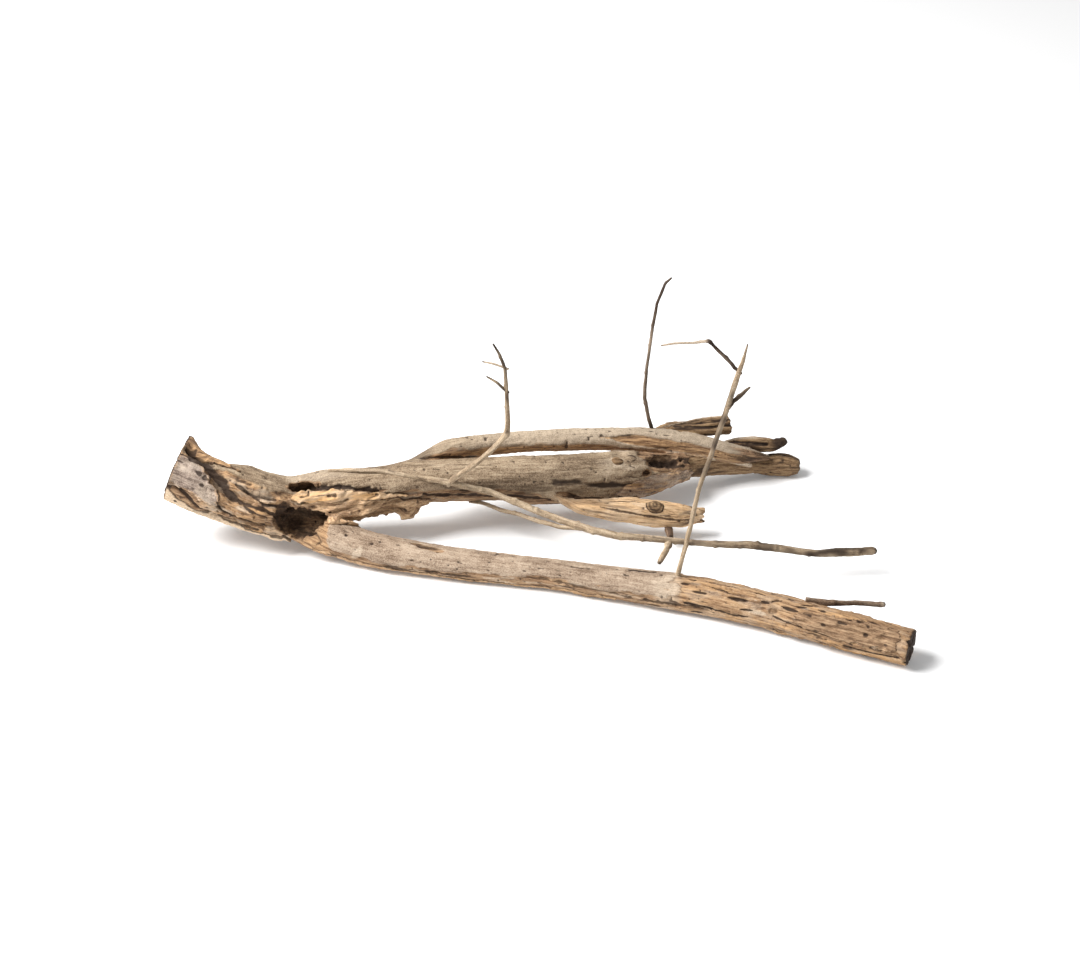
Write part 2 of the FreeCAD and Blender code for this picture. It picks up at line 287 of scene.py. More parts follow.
class Skin:
    """Places on a limb's skin, with the relief and the finish that are worked there."""

    def __init__(self, guide, s, angle):
        self.guide = guide
        self.s = s.astype(np.float32)
        self.angle = angle.astype(np.float32)
        self.radius = guide.at(guide.radius, s).astype(np.float32)
        self.degrees = np.degrees(self.angle)
        self.grain = np.stack(
            [self.s, self.radius * np.cos(self.angle), self.radius * np.sin(self.angle)], axis=-1)
        self.relief = np.zeros(len(s), dtype=np.float32)
        self.dark, self.warm, self.pale, self.bare = (np.zeros_like(self.relief) for _ in range(4))
        self.ragged = rough_noise(self.grain, (7.0, 3.2, 3.2), 41, 2)

    def fibre(self, long, across, seed, octaves=2):
        """Noise drawn out along the grain."""
        return rough_noise(self.grain, (long, across, across), seed, octaves)

    def around(self, degrees):
        """Distance round the limb from an angle, in millimetres, upwards positive."""
        return self.radius * wrap(self.angle - np.radians(degrees))

    def edge(self, places):
        """An angle that changes along the limb, from (distance, angle) places."""
        return np.interp(self.s, [p[0] for p in places], [p[1] for p in places])

    def spot(self, s, degrees, long, wide, turn=0.0, rough=0.25):
        """How far out of an oval each place is: 0 in its middle, 1 at its rim."""
        x, y = self.s - s, self.around(degrees)
        cos, sin = math.cos(turn), math.sin(turn)
        out = np.sqrt(((cos * x + sin * y) / long) ** 2 + ((cos * y - sin * x) / wide) ** 2)
        return out + rough * self.ragged

    def patch(self, fade, *oval):
        """A soft oval: 0 beyond fade's first share of its size, 1 within its second."""
        return smooth_step(*fade, self.spot(*oval))

    def strands(self, fade, *fibre):
        """Strands along the grain: fibre noise, from 0 at fade's first value to 1 at its second."""
        return smooth_step(*fade, self.fibre(*fibre))

    def above(self, line):
        """Distance round the limb above a line of angles, in millimetres."""
        return (self.degrees - line) * self.radius * math.pi / 180.0

    def seam(self, path, rough=1.0):
        """Distance from a line drawn on the skin through (distance, angle) places."""
        middle = path[len(path) // 2][1]
        x, y = self.s, self.around(middle)
        line = [(s, float(self.guide.at(self.guide.radius, s)) * math.radians(degrees - middle))
                for s, degrees in path]
        nearest = np.full(len(x), 99.0, dtype=np.float32)
        for (x0, y0), (x1, y1) in zip(line[:-1], line[1:]):
            dx, dy = x1 - x0, y1 - y0
            t = np.clip(((x - x0) * dx + (y - y0) * dy) / (dx * dx + dy * dy), 0.0, 1.0)
            nearest = np.minimum(nearest, np.hypot(x - x0 - t * dx, y - y0 - t * dy))
        return nearest + rough * self.ragged

    def crack(self, path, width, depth, rough=0.7, shade=1.0):
        """Open a crack along a line, darkened with painted shade."""
        cut = np.clip(1.0 - self.seam(path, rough) / width, 0.0, 1.0)
        self.relief -= depth * np.sqrt(cut)
        self.dark = np.maximum(self.dark, shade * smooth_step(0.0, 0.45, cut))

    def ridge(self, path, width, height, rough=0.5):
        """Raise a rounded ridge along a line."""
        rise = np.clip(1.0 - (self.seam(path, rough) / width) ** 2, 0.0, 1.0)
        self.relief += height * rise
        return rise

    def check(self, s, degrees, long, wide, turn=0.0, depth=1.5):
        """Open a short lens-shaped check whose lips stand up a little, with painted shade inside it."""
        x, y = self.s - s, self.around(degrees)
        cos, sin = math.cos(turn), math.sin(turn)
        run, across = cos * x + sin * y, cos * y - sin * x
        taper = np.clip(1.0 - (run / long) ** 2, 0.02, 1.0)
        out = np.abs(across + 0.35 * self.ragged) / (wide * taper)
        out = out + smooth_step(0.9, 1.1, abs(run) / long)
        self.relief -= depth * np.sqrt(np.clip(1.0 - out, 0.0, 1.0))
        self.relief += 0.4 * np.exp(-((out - 1.6) / 0.5) ** 2) * taper
        self.dark = np.maximum(self.dark, smooth_step(1.15, 0.55, out))

    def old_bark(self, inside, height, line=0.75):
        """Leave old bark where inside is above 0 (mm from its torn edge), bare wood beyond."""
        inside = inside + 1.5 * self.ragged + 2.4 * self.fibre(20.0, 2.4, 51)
        cover = smooth_step(-0.6, 0.6, inside)
        self.relief += height * (cover - 0.5)
        self.bare = np.maximum(self.bare, smooth_step(1.6, -1.0, inside))
        # a broken dark line along the foot of the bark's torn edge: painted shade in the crease where the
        # bark steps down to bare wood
        broken = smooth_step(-0.15, 0.45, noise(self.grain, (16.0, 6.0, 6.0), 53))
        self.dark = np.maximum(self.dark, line * broken * np.exp(-((inside + 0.7) / 1.0) ** 2))

    def layers(self, amount, long, across, step, seed, shade=0.8):
        """Break the wood into torn sheets: flats of even height, with painted shade at the foot of each
        step and a painted highlight along each sheet's lip.
        """
        level = self.fibre(long, across, seed, 3) * 2.2
        base = np.floor(level)
        part = level - base
        self.relief += amount * step * (base + smooth_step(0.78, 0.96, part))
        # painted shade at the foot of each step
        self.stain(amount * shade * np.exp(-((part - 0.80) / 0.085) ** 2))
        # painted highlight on each sheet's lip
        self.bleach(amount * 0.45 * smooth_step(0.10, 0.0, part))

    def stain(self, amount):
        """Darken by an amount from 0 to 1, for stains and for painted shade."""
        self.dark = np.maximum(self.dark, np.clip(amount, 0.0, 1.0))

    def gild(self, amount):
        """Turn the wood golden by an amount from 0 to 1."""
        self.warm = np.maximum(self.warm, np.clip(amount, 0.0, 1.0))

    def bleach(self, amount):
        """Bleach the wood by an amount from 0 to 1; also used for painted highlights."""
        self.pale = np.maximum(self.pale, np.clip(amount, 0.0, 1.0))

    def strip(self, amount):
        """Lay the wood bare by an amount from 0 to 1."""
        self.bare = np.maximum(self.bare, amount)


def weathering(skin, seed, flute=0.5, fibre=0.35, knobs=0.5):
    """The relief all the limbs share: shallow flutes, grain lines and low swellings."""
    wear = bpy.context.scene.branch_wood.wear
    flute, fibre, knobs = flute * wear, fibre * wear, knobs * wear
    skin.relief += knobs * noise(skin.grain, (34.0, 15.0, 15.0), seed)
    skin.relief += flute * skin.fibre(60.0, 7.0, seed + 3)
    skin.relief += fibre * skin.fibre(17.0, 2.3, seed + 7)
    skin.relief += 0.34 * noise(skin.grain, (2.8, 2.1, 2.1), seed + 11)
    pores = noise(skin.grain, (4.0, 2.6, 2.6), seed + 13)
    skin.stain(0.75 * smooth_step(0.66, 0.80, pores))
    skin.relief -= 0.7 * smooth_step(0.60, 0.85, pores)


def scattered_checks(skin, seed, count, span, turn, long=(3.0, 9.0)):
    """Scatter checks over a length of the limb, between two angles."""
    draw = np.random.default_rng(seed)
    for _ in range(count):
        skin.check(draw.uniform(*span), draw.uniform(*turn), draw.uniform(*long),
                   draw.uniform(0.8, 1.7), draw.uniform(-0.25, 0.25), draw.uniform(1.0, 1.8))


def butt_skin(skin):
    """Torn layers round a trough and a groove, with smooth skin left along the top."""
    skin.stain(0.22)
    weathering(skin, 100, flute=0.9, fibre=0.5, knobs=1.0)
    low = skin.edge([(0, 70), (40, 66), (80, 57), (128, 62)])
    skin.old_bark(skin.around(0) - skin.radius * np.radians(low), 2.6)
    torn = smooth_step(-30.0, -12.0, skin.around(0)) * smooth_step(64.0, 52.0, skin.degrees)
    torn *= smooth_step(30.0, 48.0, skin.s)
    skin.relief += torn * 1.6 * skin.fibre(22.0, 6.0, 120, 3)
    skin.relief += torn * 1.5 * noise(skin.grain, (7.0, 4.0, 4.0), 123)
    skin.layers(torn, 17.0, 8.0, 1.7, 135, 0.6)
    skin.stain(torn * 0.35 * skin.strands((0.2, 0.6), 16.0, 3.4, 126))
    skin.bleach(torn * 0.6 * skin.strands((0.0, 0.5), 14.0, 5.0, 129))
    skin.gild(torn * (0.35 + 0.4 * skin.strands((0.0, 0.5), 20.0, 4.0, 132)))
    skin.relief += 5.5 * skin.patch((1.0, 0.1), 116, -66, 34, 22, 0.0, 0.0)
    skin.relief -= 7.5 * skin.patch((1.0, 0.15), 26, 124, 38, 38, 0.0, 0.0)
    skin.crack([(52, 34), (66, 20), (84, 22), (98, 12)], 2.2, 3.0, 1.6, 0.95)
    skin.crack([(50, -8), (66, -16), (86, -20)], 2.0, 2.6, 1.6, 0.9)
    skin.crack([(70, 46), (84, 34), (100, 34)], 2.0, 2.6, 1.6, 0.9)
    skin.crack([(8, 84), (24, 70), (42, 50), (60, 24)], 6.0, 6.5, 2.2)
    skin.crack([(4, 8), (20, -10), (34, -27), (48, -40)], 2.8, 3.4, 0.9)
    skin.crack([(48, -40), (66, -38), (84, -34)], 2.4, 2.0, 1.2, 0.8)
    skin.crack([(60, 30), (74, 14), (88, 6)], 2.0, 2.2, 1.2, 0.85)
    skin.crack([(58, 52), (76, 44), (92, 46)], 1.8, 2.0, 1.2, 0.8)
    golden = skin.ridge([(46, 64), (60, 60), (82, 58)], 3.6, 2.6, 1.0)
    skin.gild(golden * 0.4)
    skin.gild(0.8 * skin.patch((1.0, 0.6), 97, -30, 10, 7))
    skin.bleach(0.5 * skin.patch((1.0, 0.6), 97, -30, 10, 7))
    skin.relief += 2.4 * skin.patch((1.0, 0.7), 97, -30, 10, 6)
    skin.gild(0.4 * skin.patch((1.1, 0.4), 14, 96, 20, 7))
    scattered_checks(skin, 9, 26, (10, 118), (120, 290))


def rear_limb_skin(skin):
    """Smooth grey skin above a long torn side, with an eye, a split and a dark run to the right."""
    weathering(skin, 200, flute=0.55, fibre=0.3, knobs=0.8)
    low = skin.edge([(0, 50), (30, 57), (60, 50), (90, 36), (128, 16), (150, 10), (187, 8),
                     (215, -2), (250, -16), (320, -26), (405, -30)])
    skin.relief += 5.5 * np.exp(-(skin.around(-50) / 10.0) ** 2) * (
        smooth_step(215.0, 250.0, skin.s) * smooth_step(392.0, 350.0, skin.s))
    side = skin.above(low)
    skin.old_bark(np.where(abs(skin.degrees) > 125, 60.0 - side, side), 1.7, 0.9)
    skin.bleach(0.35 * smooth_step(110.0, 70.0, skin.s) * smooth_step(60.0, 80.0, skin.degrees))
    torn = smooth_step(205.0, 175.0, skin.s) * smooth_step(0.0, -6.0, skin.degrees - low)
    torn *= (0.35 * smooth_step(-85.0, -70.0, skin.degrees)
             + 0.65 * smooth_step(-60.0, -35.0, skin.degrees))
    skin.relief += torn * 1.4 * skin.fibre(30.0, 4.4, 220)
    skin.relief += torn * 1.2 * noise(skin.grain, (8.0, 2.6, 2.6), 223)
    skin.layers(torn, 24.0, 7.0, 1.5, 225, 0.45)
    skin.bleach(torn * 0.5 * skin.strands((0.0, 0.5), 18.0, 4.0, 227))
    skin.gild(torn * 0.5 * skin.strands((0.0, 0.5), 26.0, 5.0, 229))
    skin.stain(torn * 0.35 * skin.strands((0.2, 0.6), 22.0, 3.0, 226))
    skin.crack([(30, 60), (46, 58), (62, 55), (76, 50)], 2.8, 3.0, 2.4)
    skin.crack([(80, 46), (94, 37), (108, 27)], 2.0, 2.2, 2.2, 0.9)
    skin.relief -= 3.6 * skin.patch((1.0, 0.2), 104, 118, 46, 30, 0.0, 0.0)
    skin.crack([(150, -2), (172, -12), (196, -16), (226, -30)], 2.4, 1.8, 1.4, 0.85)
    skin.stain(0.8 * skin.patch((1.0, 0.6), 187, 3, 7, 3.0))
    skin.relief -= 1.2 * skin.patch((1.0, 0.4), 187, 3, 7, 3.0)
    run = skin.seam([(266, 19), (284, 16), (304, 8), (326, 4), (346, 1)], 1.0)
    run = smooth_step(3.4, 1.0, run + 1.5 * skin.fibre(16.0, 2.4, 234))
    skin.relief -= 1.0 * run
    skin.stain(0.85 * run)
    # darker strands along the lower edge of the grey skin: painted shade of the limb's lower side, broken
    # by the grain
    near = smooth_step(16.0, 2.0, side)
    skin.stain(0.5 * near * smooth_step(150.0, 180.0, skin.s)
               * skin.strands((-0.1, 0.5), 16.0, 4.0, 236))
    skin.crack([(226, -20), (262, -29), (300, -34), (345, -36)], 1.8, 1.4, 1.0, 0.9)
    skin.stain(0.5 * smooth_step(-2.0, -5.0, skin.degrees - low)
               * skin.strands((0.0, 0.4), 30.0, 2.6, 232) * smooth_step(200.0, 230.0, skin.s))
    lumps = smooth_step(300.0, 325.0, skin.s) * smooth_step(15.0, 35.0, skin.degrees)
    skin.relief += lumps * 1.5 * noise(skin.grain, (10.0, 7.0, 7.0), 230)
    skin.bleach(lumps * 0.45 * smooth_step(-0.3, 0.4, noise(skin.grain, (12.0, 8.0, 8.0), 231)))
    skin.crack([(337, 84), (342, 79), (344, 72), (341, 65), (337, 59), (336, 51), (340, 45)],
               0.8, 1.0, 0.8, 0.75)
    skin.crack([(331, 27), (341, 21), (351, 26)], 0.8, 0.9, 0.9, 0.55)
    torn_off = skin.s - np.interp(skin.degrees, [-80, 16, 26, 40, 80, 180],
                                  [430, 415, 366, 354, 348, 352])
    torn_off = smooth_step(-1.5, 2.5, torn_off + 3.5 * skin.ragged)
    skin.relief -= 2.2 * torn_off
    skin.relief += torn_off * 1.3 * skin.fibre(40.0, 3.6, 240)
    skin.strip(torn_off)
    skin.pale *= 1.0 - torn_off
    # painted shade in the grooves between the torn-off end's ribs
    skin.stain(torn_off * 0.85 * skin.strands((0.1, -0.5), 40.0, 3.6, 240))
    skin.crack([(356, 54), (372, 46), (392, 40)], 2.6, 2.2, 0.9, 0.9)
    # painted shade in the hollow carved here near the nose
    skin.stain(0.95 * skin.patch((1.1, 0.7), 372, 69, 19, 7))
    skin.gild(0.6 * skin.patch((1.0, 0.5), 372, 50, 16, 4))
    skin.crack([(112, 88), (140, 86), (176, 78), (214, 70)], 0.7, 0.5, 0.3, 0.5)
    scattered_checks(skin, 19, 40, (40, 380), (125, 290), (3.0, 12.0))


def front_limb_skin(skin):
    """Pale skin with a bare band underneath, then tan wood full of checks to the sawn end."""
    weathering(skin, 300, flute=0.5, fibre=0.32, knobs=0.6)
    low = skin.edge([(0, -30), (60, -22), (82, -12), (150, -4), (226, 10), (262, 20), (300, 14),
                     (340, 4), (372, 8), (400, 8)])
    band = np.where(skin.degrees < -95.0, -skin.above(-95.0), skin.above(low))
    right = 379.0 - skin.s + 12.0 * skin.fibre(16.0, 5.0, 310)
    left = skin.s - 71.0 + 0.10 * skin.degrees
    skin.old_bark(np.minimum(np.minimum(band, right), left), 1.0, 0.7)
    skin.gild(0.3 * smooth_step(1.0, -3.0, left) * smooth_step(-70.0, -30.0, skin.degrees))
    tan = smooth_step(376.0, 392.0, skin.s)
    fibres = smooth_step(1.0, -2.0, band) * (1.0 - tan) * smooth_step(60.0, 90.0, skin.s)
    skin.relief += fibres * 0.6 * skin.fibre(30.0, 2.4, 312)
    skin.stain(fibres * 0.75 * skin.strands((0.1, 0.5), 26.0, 2.2, 314))
    skin.bleach(fibres * 0.5 * skin.strands((0.2, 0.6), 18.0, 3.0, 316))
    skin.relief += tan * 0.5 * skin.fibre(26.0, 3.6, 320)
    sheets = smooth_step(-0.3, 0.4, noise(skin.grain, (30.0, 12.0, 12.0), 318))
    skin.layers(tan * sheets, 14.0, 5.0, 0.7, 319, 0.55)
    skin.stain(tan * 0.5 * skin.strands((0.35, 0.75), 24.0, 3.0, 323))
    skin.gild(tan * (0.2 + 0.35 * skin.strands((0.1, 0.6), 40.0, 6.0, 326)))
    skin.bleach(tan * 0.25 * skin.strands((0.0, 0.5), 16.0, 5.0, 328))
    for s, degrees, long, wide, turn in (
        (390, 68, 4, 1.2, 0.1), (404, 45, 6.5, 1.4, 0.0), (419, 68, 9, 0.9, -0.1),
        (438, 47, 9, 1.8, 0.05), (471, 72, 5, 1.2, 0.5), (481, 94, 4.5, 1.1, 0.0),
        (485, 56, 7.5, 1.8, -0.05), (500, 32, 6, 1.4, 0.1), (501, 92, 11, 1.3, 0.3),
        (520, 65, 4.5, 1.3, 0.0), (525, 32, 8, 1.5, -0.1), (540, 73, 7, 1.3, 0.1),
        (455, 84, 5, 1.0, 0.0), (447, 20, 6, 1.0, 0.1), (570, 54, 5, 1.6, 0.0),
        (396, 88, 4, 1.0, 0.2), (412, 92, 5, 0.9, 0.0), (430, 88, 6, 0.9, -0.1),
        (462, 58, 4, 1.2, 0.0), (494, 74, 5, 1.2, 0.2), (511, 48, 7, 1.2, 0.0),
        (512, 80, 4, 1.4, 0.0), (536, 58, 6, 1.1, 0.0), (549, 60, 7, 1.2, 0.15),
        (556, 84, 6, 1.0, 0.0), (565, 40, 4, 1.4, 0.0), (572, 74, 4, 1.0, 0.1),
    ):
        skin.check(s, degrees, long * 1.15, wide * 1.15, turn,
                   bpy.context.scene.branch_wood.check_depth / MM)
    skin.crack([(529, 46), (541, 41), (556, 37)], 1.5, 1.6, 0.4)
    skin.crack([(414, -4), (432, -8), (449, -4)], 1.3, 1.2, 0.7)
    skin.crack([(340, -14), (364, -15), (392, -10), (418, -16)], 1.7, 1.6, 2.6, 0.7)
    skin.crack([(392, 2), (404, -4), (416, -6)], 2.2, 1.8, 1.6, 0.9)
    skin.crack([(262, 12), (290, 6), (318, -2), (340, -4)], 1.2, 1.2, 2.2, 0.6)
    skin.crack([(472, 22), (484, 14), (505, 8), (524, 4)], 1.2, 1.2, 0.5, 0.9)
    skin.crack([(536, -12), (548, -16), (564, -16), (582, -8)], 1.5, 1.4, 0.7)
    skin.stain(0.75 * skin.patch((1.0, 0.5), 509, -8, 10, 3.5) * skin.strands((-0.3, 0.3), 14.0, 1.6, 330))
    skin.stain(0.8 * skin.patch((1.0, 0.5), 404, -8, 14, 5) * skin.strands((-0.4, 0.3), 18.0, 2.0, 331))
    skin.relief -= 1.6 * skin.patch((1.0, 0.5), 404, -14, 15, 6)
    skin.gild(0.75 * smooth_step(-4.0, -12.0, skin.degrees) * smooth_step(508.0, 522.0, skin.s))
    skin.bleach(0.7 * skin.patch((1.0, 0.5), 457, 20, 14, 2.6))
    skin.bleach(0.6 * skin.patch((1.0, 0.5), 556, 22, 12, 6))
    skin.bleach(0.45 * skin.patch((1.2, 0.5), 376, 40, 14, 16))
    skin.crack([(83, 57), (84, 57)], 1.5, 1.6, 0.2)
    skin.crack([(109, 53), (110, 53)], 1.4, 1.6, 0.2)
    skin.crack([(44, 30), (58, 20), (64, 0), (60, -22)], 1.2, 0.9, 0.9, 0.6)
    skin.bleach(0.6 * skin.patch((1.0, 0.6), 98, 8, 9, 4, 1.0))
    skin.relief += 4.0 * skin.patch((1.0, 0.1), 50, -66, 40, 16, 0.0, 0.0)
    notch = skin.patch((1.1, 0.5), 160, 82, 17, 3.4, -0.12)
    skin.strip(notch)
    skin.relief -= 1.4 * notch
    skin.stain(0.8 * notch * skin.strands((-0.2, 0.4), 16.0, 2.0, 333))
    flake = skin.patch((1.1, 0.5), 165, -17, 11, 4.0, 0.1)
    skin.relief -= 1.8 * flake
    skin.stain(0.9 * flake * skin.strands((-0.3, 0.3), 10.0, 2.4, 336))
    skin.crack([(338, 98), (350, 100), (362, 108)], 1.4, 1.2, 0.6)
    knot = skin.spot(471, 39, 5.2, 4.2, 0.4, 0.3)
    skin.relief -= 0.8 * smooth_step(1.1, 0.8, knot)
    skin.relief += 0.9 * smooth_step(0.7, 0.2, knot)
    skin.stain(0.55 * smooth_step(1.1, 0.7, knot))
    eye = skin.spot(563, 15, 5.6, 4.6, 0.0, 0.1)
    skin.relief += 0.9 * smooth_step(0.9, 0.4, eye) - 0.7 * np.exp(-((eye - 1.05) / 0.2) ** 2)
    skin.stain(0.85 * np.exp(-((eye - 1.0) / 0.22) ** 2) + 0.35 * smooth_step(0.9, 0.5, eye))
    scattered_checks(skin, 29, 46, (392, 572), (118, 290), (3.0, 9.0))
    scattered_checks(skin, 31, 14, (398, 572), (-60, -30), (3.0, 8.0))


def upper_limb_skin(skin):
    """Pale skin above a golden underside, with a long sunken brown streak to the right."""
    weathering(skin, 400, flute=0.4, fibre=0.3, knobs=0.5)
    skin.bleach(0.15 + 0.4 * smooth_step(80.0, 160.0, skin.s))
    skin.stain(0.3 * smooth_step(150.0, 90.0, skin.s) * skin.strands((0.0, 0.5), 20.0, 4.0, 402))
    skin.relief -= 6.0 * skin.patch((1.0, 0.2), 40, 120, 52, 34, 0.0, 0.0)
    low = skin.edge([(0, 10), (60, 32), (90, 34), (112, 20), (150, 14), (215, 14), (250, -6),
                     (300, -22), (396, -30)])
    band = np.where(skin.degrees < -110.0, -skin.above(-110.0), skin.above(low))
    skin.old_bark(band, 0.7, 0.45)
    under = smooth_step(1.0, -3.0, band + 2.0 * skin.fibre(20.0, 2.4, 51))
    skin.pale *= 1.0 - under
    skin.gild(0.6 * under * smooth_step(250.0, 210.0, skin.s))
    streak = skin.seam([(226, 40), (250, 34), (284, 18), (320, 4), (362, -8)], 1.2)
    wide = 0.6 + 5.4 * smooth_step(222.0, 266.0, skin.s)
    deep = smooth_step(wide, wide - 1.8, streak)
    skin.relief -= 1.5 * deep
    skin.relief += deep * 0.7 * skin.fibre(20.0, 2.2, 420)
    skin.strip(deep)
    skin.pale *= 1.0 - deep
    skin.gild(0.45 * deep)
    skin.stain(0.75 * deep * skin.strands((0.18, 0.45), 26.0, 1.8, 422))
    rim = np.exp(-((streak - wide + 0.8) / 1.0) ** 2)
    rim *= smooth_step(-4.0, 6.0, skin.around(0) - 5.0 + 0.07 * (skin.s - 226))
    skin.stain(0.8 * rim * smooth_step(-0.2, 0.4, noise(skin.grain, (12.0, 5.0, 5.0), 424)))
    skin.stain(0.5 * skin.patch((1.0, 0.4), 171, 4, 5, 3))
    skin.gild(0.9 * skin.patch((1.1, 0.5), 171, 2, 7, 4))
    skin.crack([(58, 34), (70, 16), (90, -12), (118, -50)], 2.8, 1.6, 1.2, 0.85)
    lines = skin.fibre(36.0, 3.0, 430)
    end = smooth_step(338.0, 372.0, skin.s + 6.0 * skin.ragged)
    skin.relief += end * (0.9 * lines - 1.2)
    skin.relief -= 4.0 * smooth_step(366.0, 398.0, skin.s)
    skin.pale *= 1.0 - end * smooth_step(88.0, 70.0, skin.degrees)
    skin.strip(end * smooth_step(88.0, 70.0, skin.degrees))
    # painted shade in the grooves of the torn end
    skin.stain(end * 0.8 * smooth_step(0.1, -0.4, lines))
    scattered_checks(skin, 39, 18, (60, 340), (130, 250), (3.0, 8.0))


def ribbed_skin(skin, seed, ribs=1.0, shade=0.75, cell=3.4):
    """Torn heartwood: deep ribs along the grain, with painted shade between them."""
    weathering(skin, seed, flute=0.5, fibre=0.3, knobs=0.5)
    lines = skin.fibre(46.0, cell, seed + 20)
    skin.relief += ribs * lines
    skin.bare[:] = 1.0
    # painted shade in the grooves between the ribs
    skin.stain(shade * smooth_step(0.0, -0.55, lines))


def nose_skin(skin):
    """Ribbed heartwood with a knuckle near the end and one loose pale sliver."""
    ribbed_skin(skin, 500, 0.9, 0.8)
    skin.relief += 0.6 * np.exp(-((skin.s - 128.0) / 9.0) ** 2)
    skin.relief += 1.2 * skin.patch((1.0, 0.3), 126, 60, 12, 8)
    skin.relief -= 1.2 * np.exp(-((skin.s - 106.0) / 8.0) ** 2)
    skin.relief -= 2.4 * np.maximum(skin.s - 137.0, 0.0) ** 2 / 10.0 ** 2
    sliver = skin.ridge([(52, 56), (74, 43), (98, 26)], 2.3, 2.2, 0.5)
    skin.bleach(sliver)
    skin.dark *= 1.0 - 0.8 * sliver
    skin.stain(0.7 * skin.patch((1.2, 0.3), 46, 4, 12, 6))
    scattered_checks(skin, 49, 8, (60, 140), (90, 260), (3.0, 10.0))


def lower_stub_skin(skin):
    """Golden torn wood with painted shade in the grooves between its lines, and a scar ring round its
    knot.
    """
    weathering(skin, 600, flute=0.6, fibre=0.35, knobs=0.7)
    lines = skin.fibre(40.0, 4.2, 620)
    skin.relief += 0.9 * lines - 4.5 * smooth_step(62.0, 30.0, skin.s)
    skin.relief -= 5.0 * smooth_step(100.0, 60.0, skin.s) * smooth_step(0.0, 60.0, skin.degrees)
    skin.relief += 1.0 * noise(skin.grain, (12.0, 6.0, 6.0), 621)
    skin.bare[:] = 1.0
    skin.gild(0.4 * skin.strands((-0.1, 0.5), 30.0, 6.0, 623))
    skin.bleach(0.3 * skin.strands((0.0, 0.5), 14.0, 5.0, 625))
    # painted shade in the grooves between the lines
    skin.stain(0.55 * smooth_step(-0.25, -0.7, lines))
    skin.crack([(70, 30), (96, 22), (124, 14), (150, 8)], 1.4, 1.3, 0.7, 0.8)
    skin.crack([(60, 70), (84, 78), (104, 84)], 1.2, 1.0, 0.7, 0.7)
    skin.stain(0.9 * smooth_step(120.0, 160.0, skin.s) * skin.strands((0.0, 0.5), 16.0, 2.4, 626))
    scattered_checks(skin, 59, 8, (60, 150), (110, 260), (3.0, 8.0))


def back_splinter_skin(skin):
    """A thick brown splinter with a pale upper edge."""
    ribbed_skin(skin, 700, 1.0, 0.85, 2.6)
    upper = smooth_step(0.0, 70.0, skin.degrees) * smooth_step(190.0, 150.0, skin.degrees)
    skin.relief += smooth_step(78.0, 20.0, skin.s) * (1.5 - 7.0 * upper)
    skin.bleach(0.8 * smooth_step(95.0, 112.0, skin.degrees) * smooth_step(150.0, 128.0, skin.degrees))
    skin.crack([(30, 30), (60, 26), (84, 30)], 1.6, 2.0, 0.8)
    skin.crack([(20, 66), (50, 60), (80, 62)], 1.2, 1.4, 0.7)


def horn_splinter_skin(skin):
    """A thin dark splinter, ribbed, with a hooked tip."""
    ribbed_skin(skin, 800, 1.0, 0.85, 2.4)
    skin.relief -= 1.8 * skin.strands((0.2, 0.7), 18.0, 6.0, 830)
    skin.relief -= 2.5 * smooth_step(50.0, 18.0, skin.s) * smooth_step(0.0, 60.0, skin.degrees)
    skin.crack([(16, 40), (34, 30), (54, 34)], 2.0, 2.6, 0.8)
    skin.bleach(0.7 * smooth_step(60.0, 85.0, skin.degrees) * smooth_step(150.0, 120.0, skin.degrees)
                * smooth_step(52.0, 40.0, skin.s))
    skin.stain(0.9 * smooth_step(52.0, 66.0, skin.s))


def nub_skin(skin):
    """A broken knob under the rear limb."""
    weathering(skin, 900, flute=0.6, fibre=0.4, knobs=0.8)
    skin.bare[:] = 0.6
    skin.stain(0.6 * skin.strands((-0.2, 0.5), 12.0, 3.0, 920))


SKINS = {
    "butt": butt_skin, "rear_limb": rear_limb_skin, "front_limb": front_limb_skin,
    "upper_limb": upper_limb_skin, "nose": nose_skin, "lower_stub": lower_stub_skin,
    "back_splinter": back_splinter_skin, "horn_splinter": horn_splinter_skin, "nub": nub_skin,
}
# limb: blend at its root (mm), blend further on (mm), distance over which it changes (mm)
BLENDS = {
    "butt": (2, 2, 1), "rear_limb": (9, 3, 90), "front_limb": (8, 2, 90),
    "upper_limb": (10, 2, 130), "nose": (9, 2.5, 90), "lower_stub": (7, 2, 90),
    "back_splinter": (3, 1.5, 50), "horn_splinter": (3, 1.5, 50), "nub": (6, 5, 20),
}
# limb: how ragged its free end is (mm), and how coarse the torn fibres are (mm)
ENDS = {
    "butt": (0.0, 3.0), "rear_limb": (10.0, 3.0), "front_limb": (0.5, 4.0), "upper_limb": (6.0, 2.5),
    "nose": (3.0, 3.5), "lower_stub": (14.0, 3.2), "back_splinter": (5.0, 2.6),
    "horn_splinter": (3.0, 2.0), "nub": (0.8, 3.0),
}


# ---- the wood as one block of space --------------------------------------------------------
VOXEL = 1.0
# distances are kept this far from the skin, and beyond that stand at FAR (mm)
REACH = 12.0
FAR = 99.0
# steps past its end that a guide's line is carried
OVERRUN = 9.0
# the skin is worked within this of a limb's plain surface (mm)
RELIEF_BAND = 8.5
# how far back from its tip a torn end begins, and how far in a sawn face is rough (mm)
TORN_REACH = 24.0
SAWN_REACH = 6.0
# an end is cut only where it is this near the skin, or inside it (mm)
NEAR_SKIN = 4.0
# the least height of the wood over the floor (mm)
CLEARANCE = 0.4
FIRST_SAWN = ("butt",)
LAST_SAWN = ("front_limb",)
# sawn end: angle and half width (mm) of each drying crack, and their depth (mm)
DRYING_CRACKS = ((-2.6, 1.0), (-1.5, 1.5), (-0.4, 0.9), (0.9, 1.7), (2.1, 1.1))
CRACK_DEPTH = 3.0


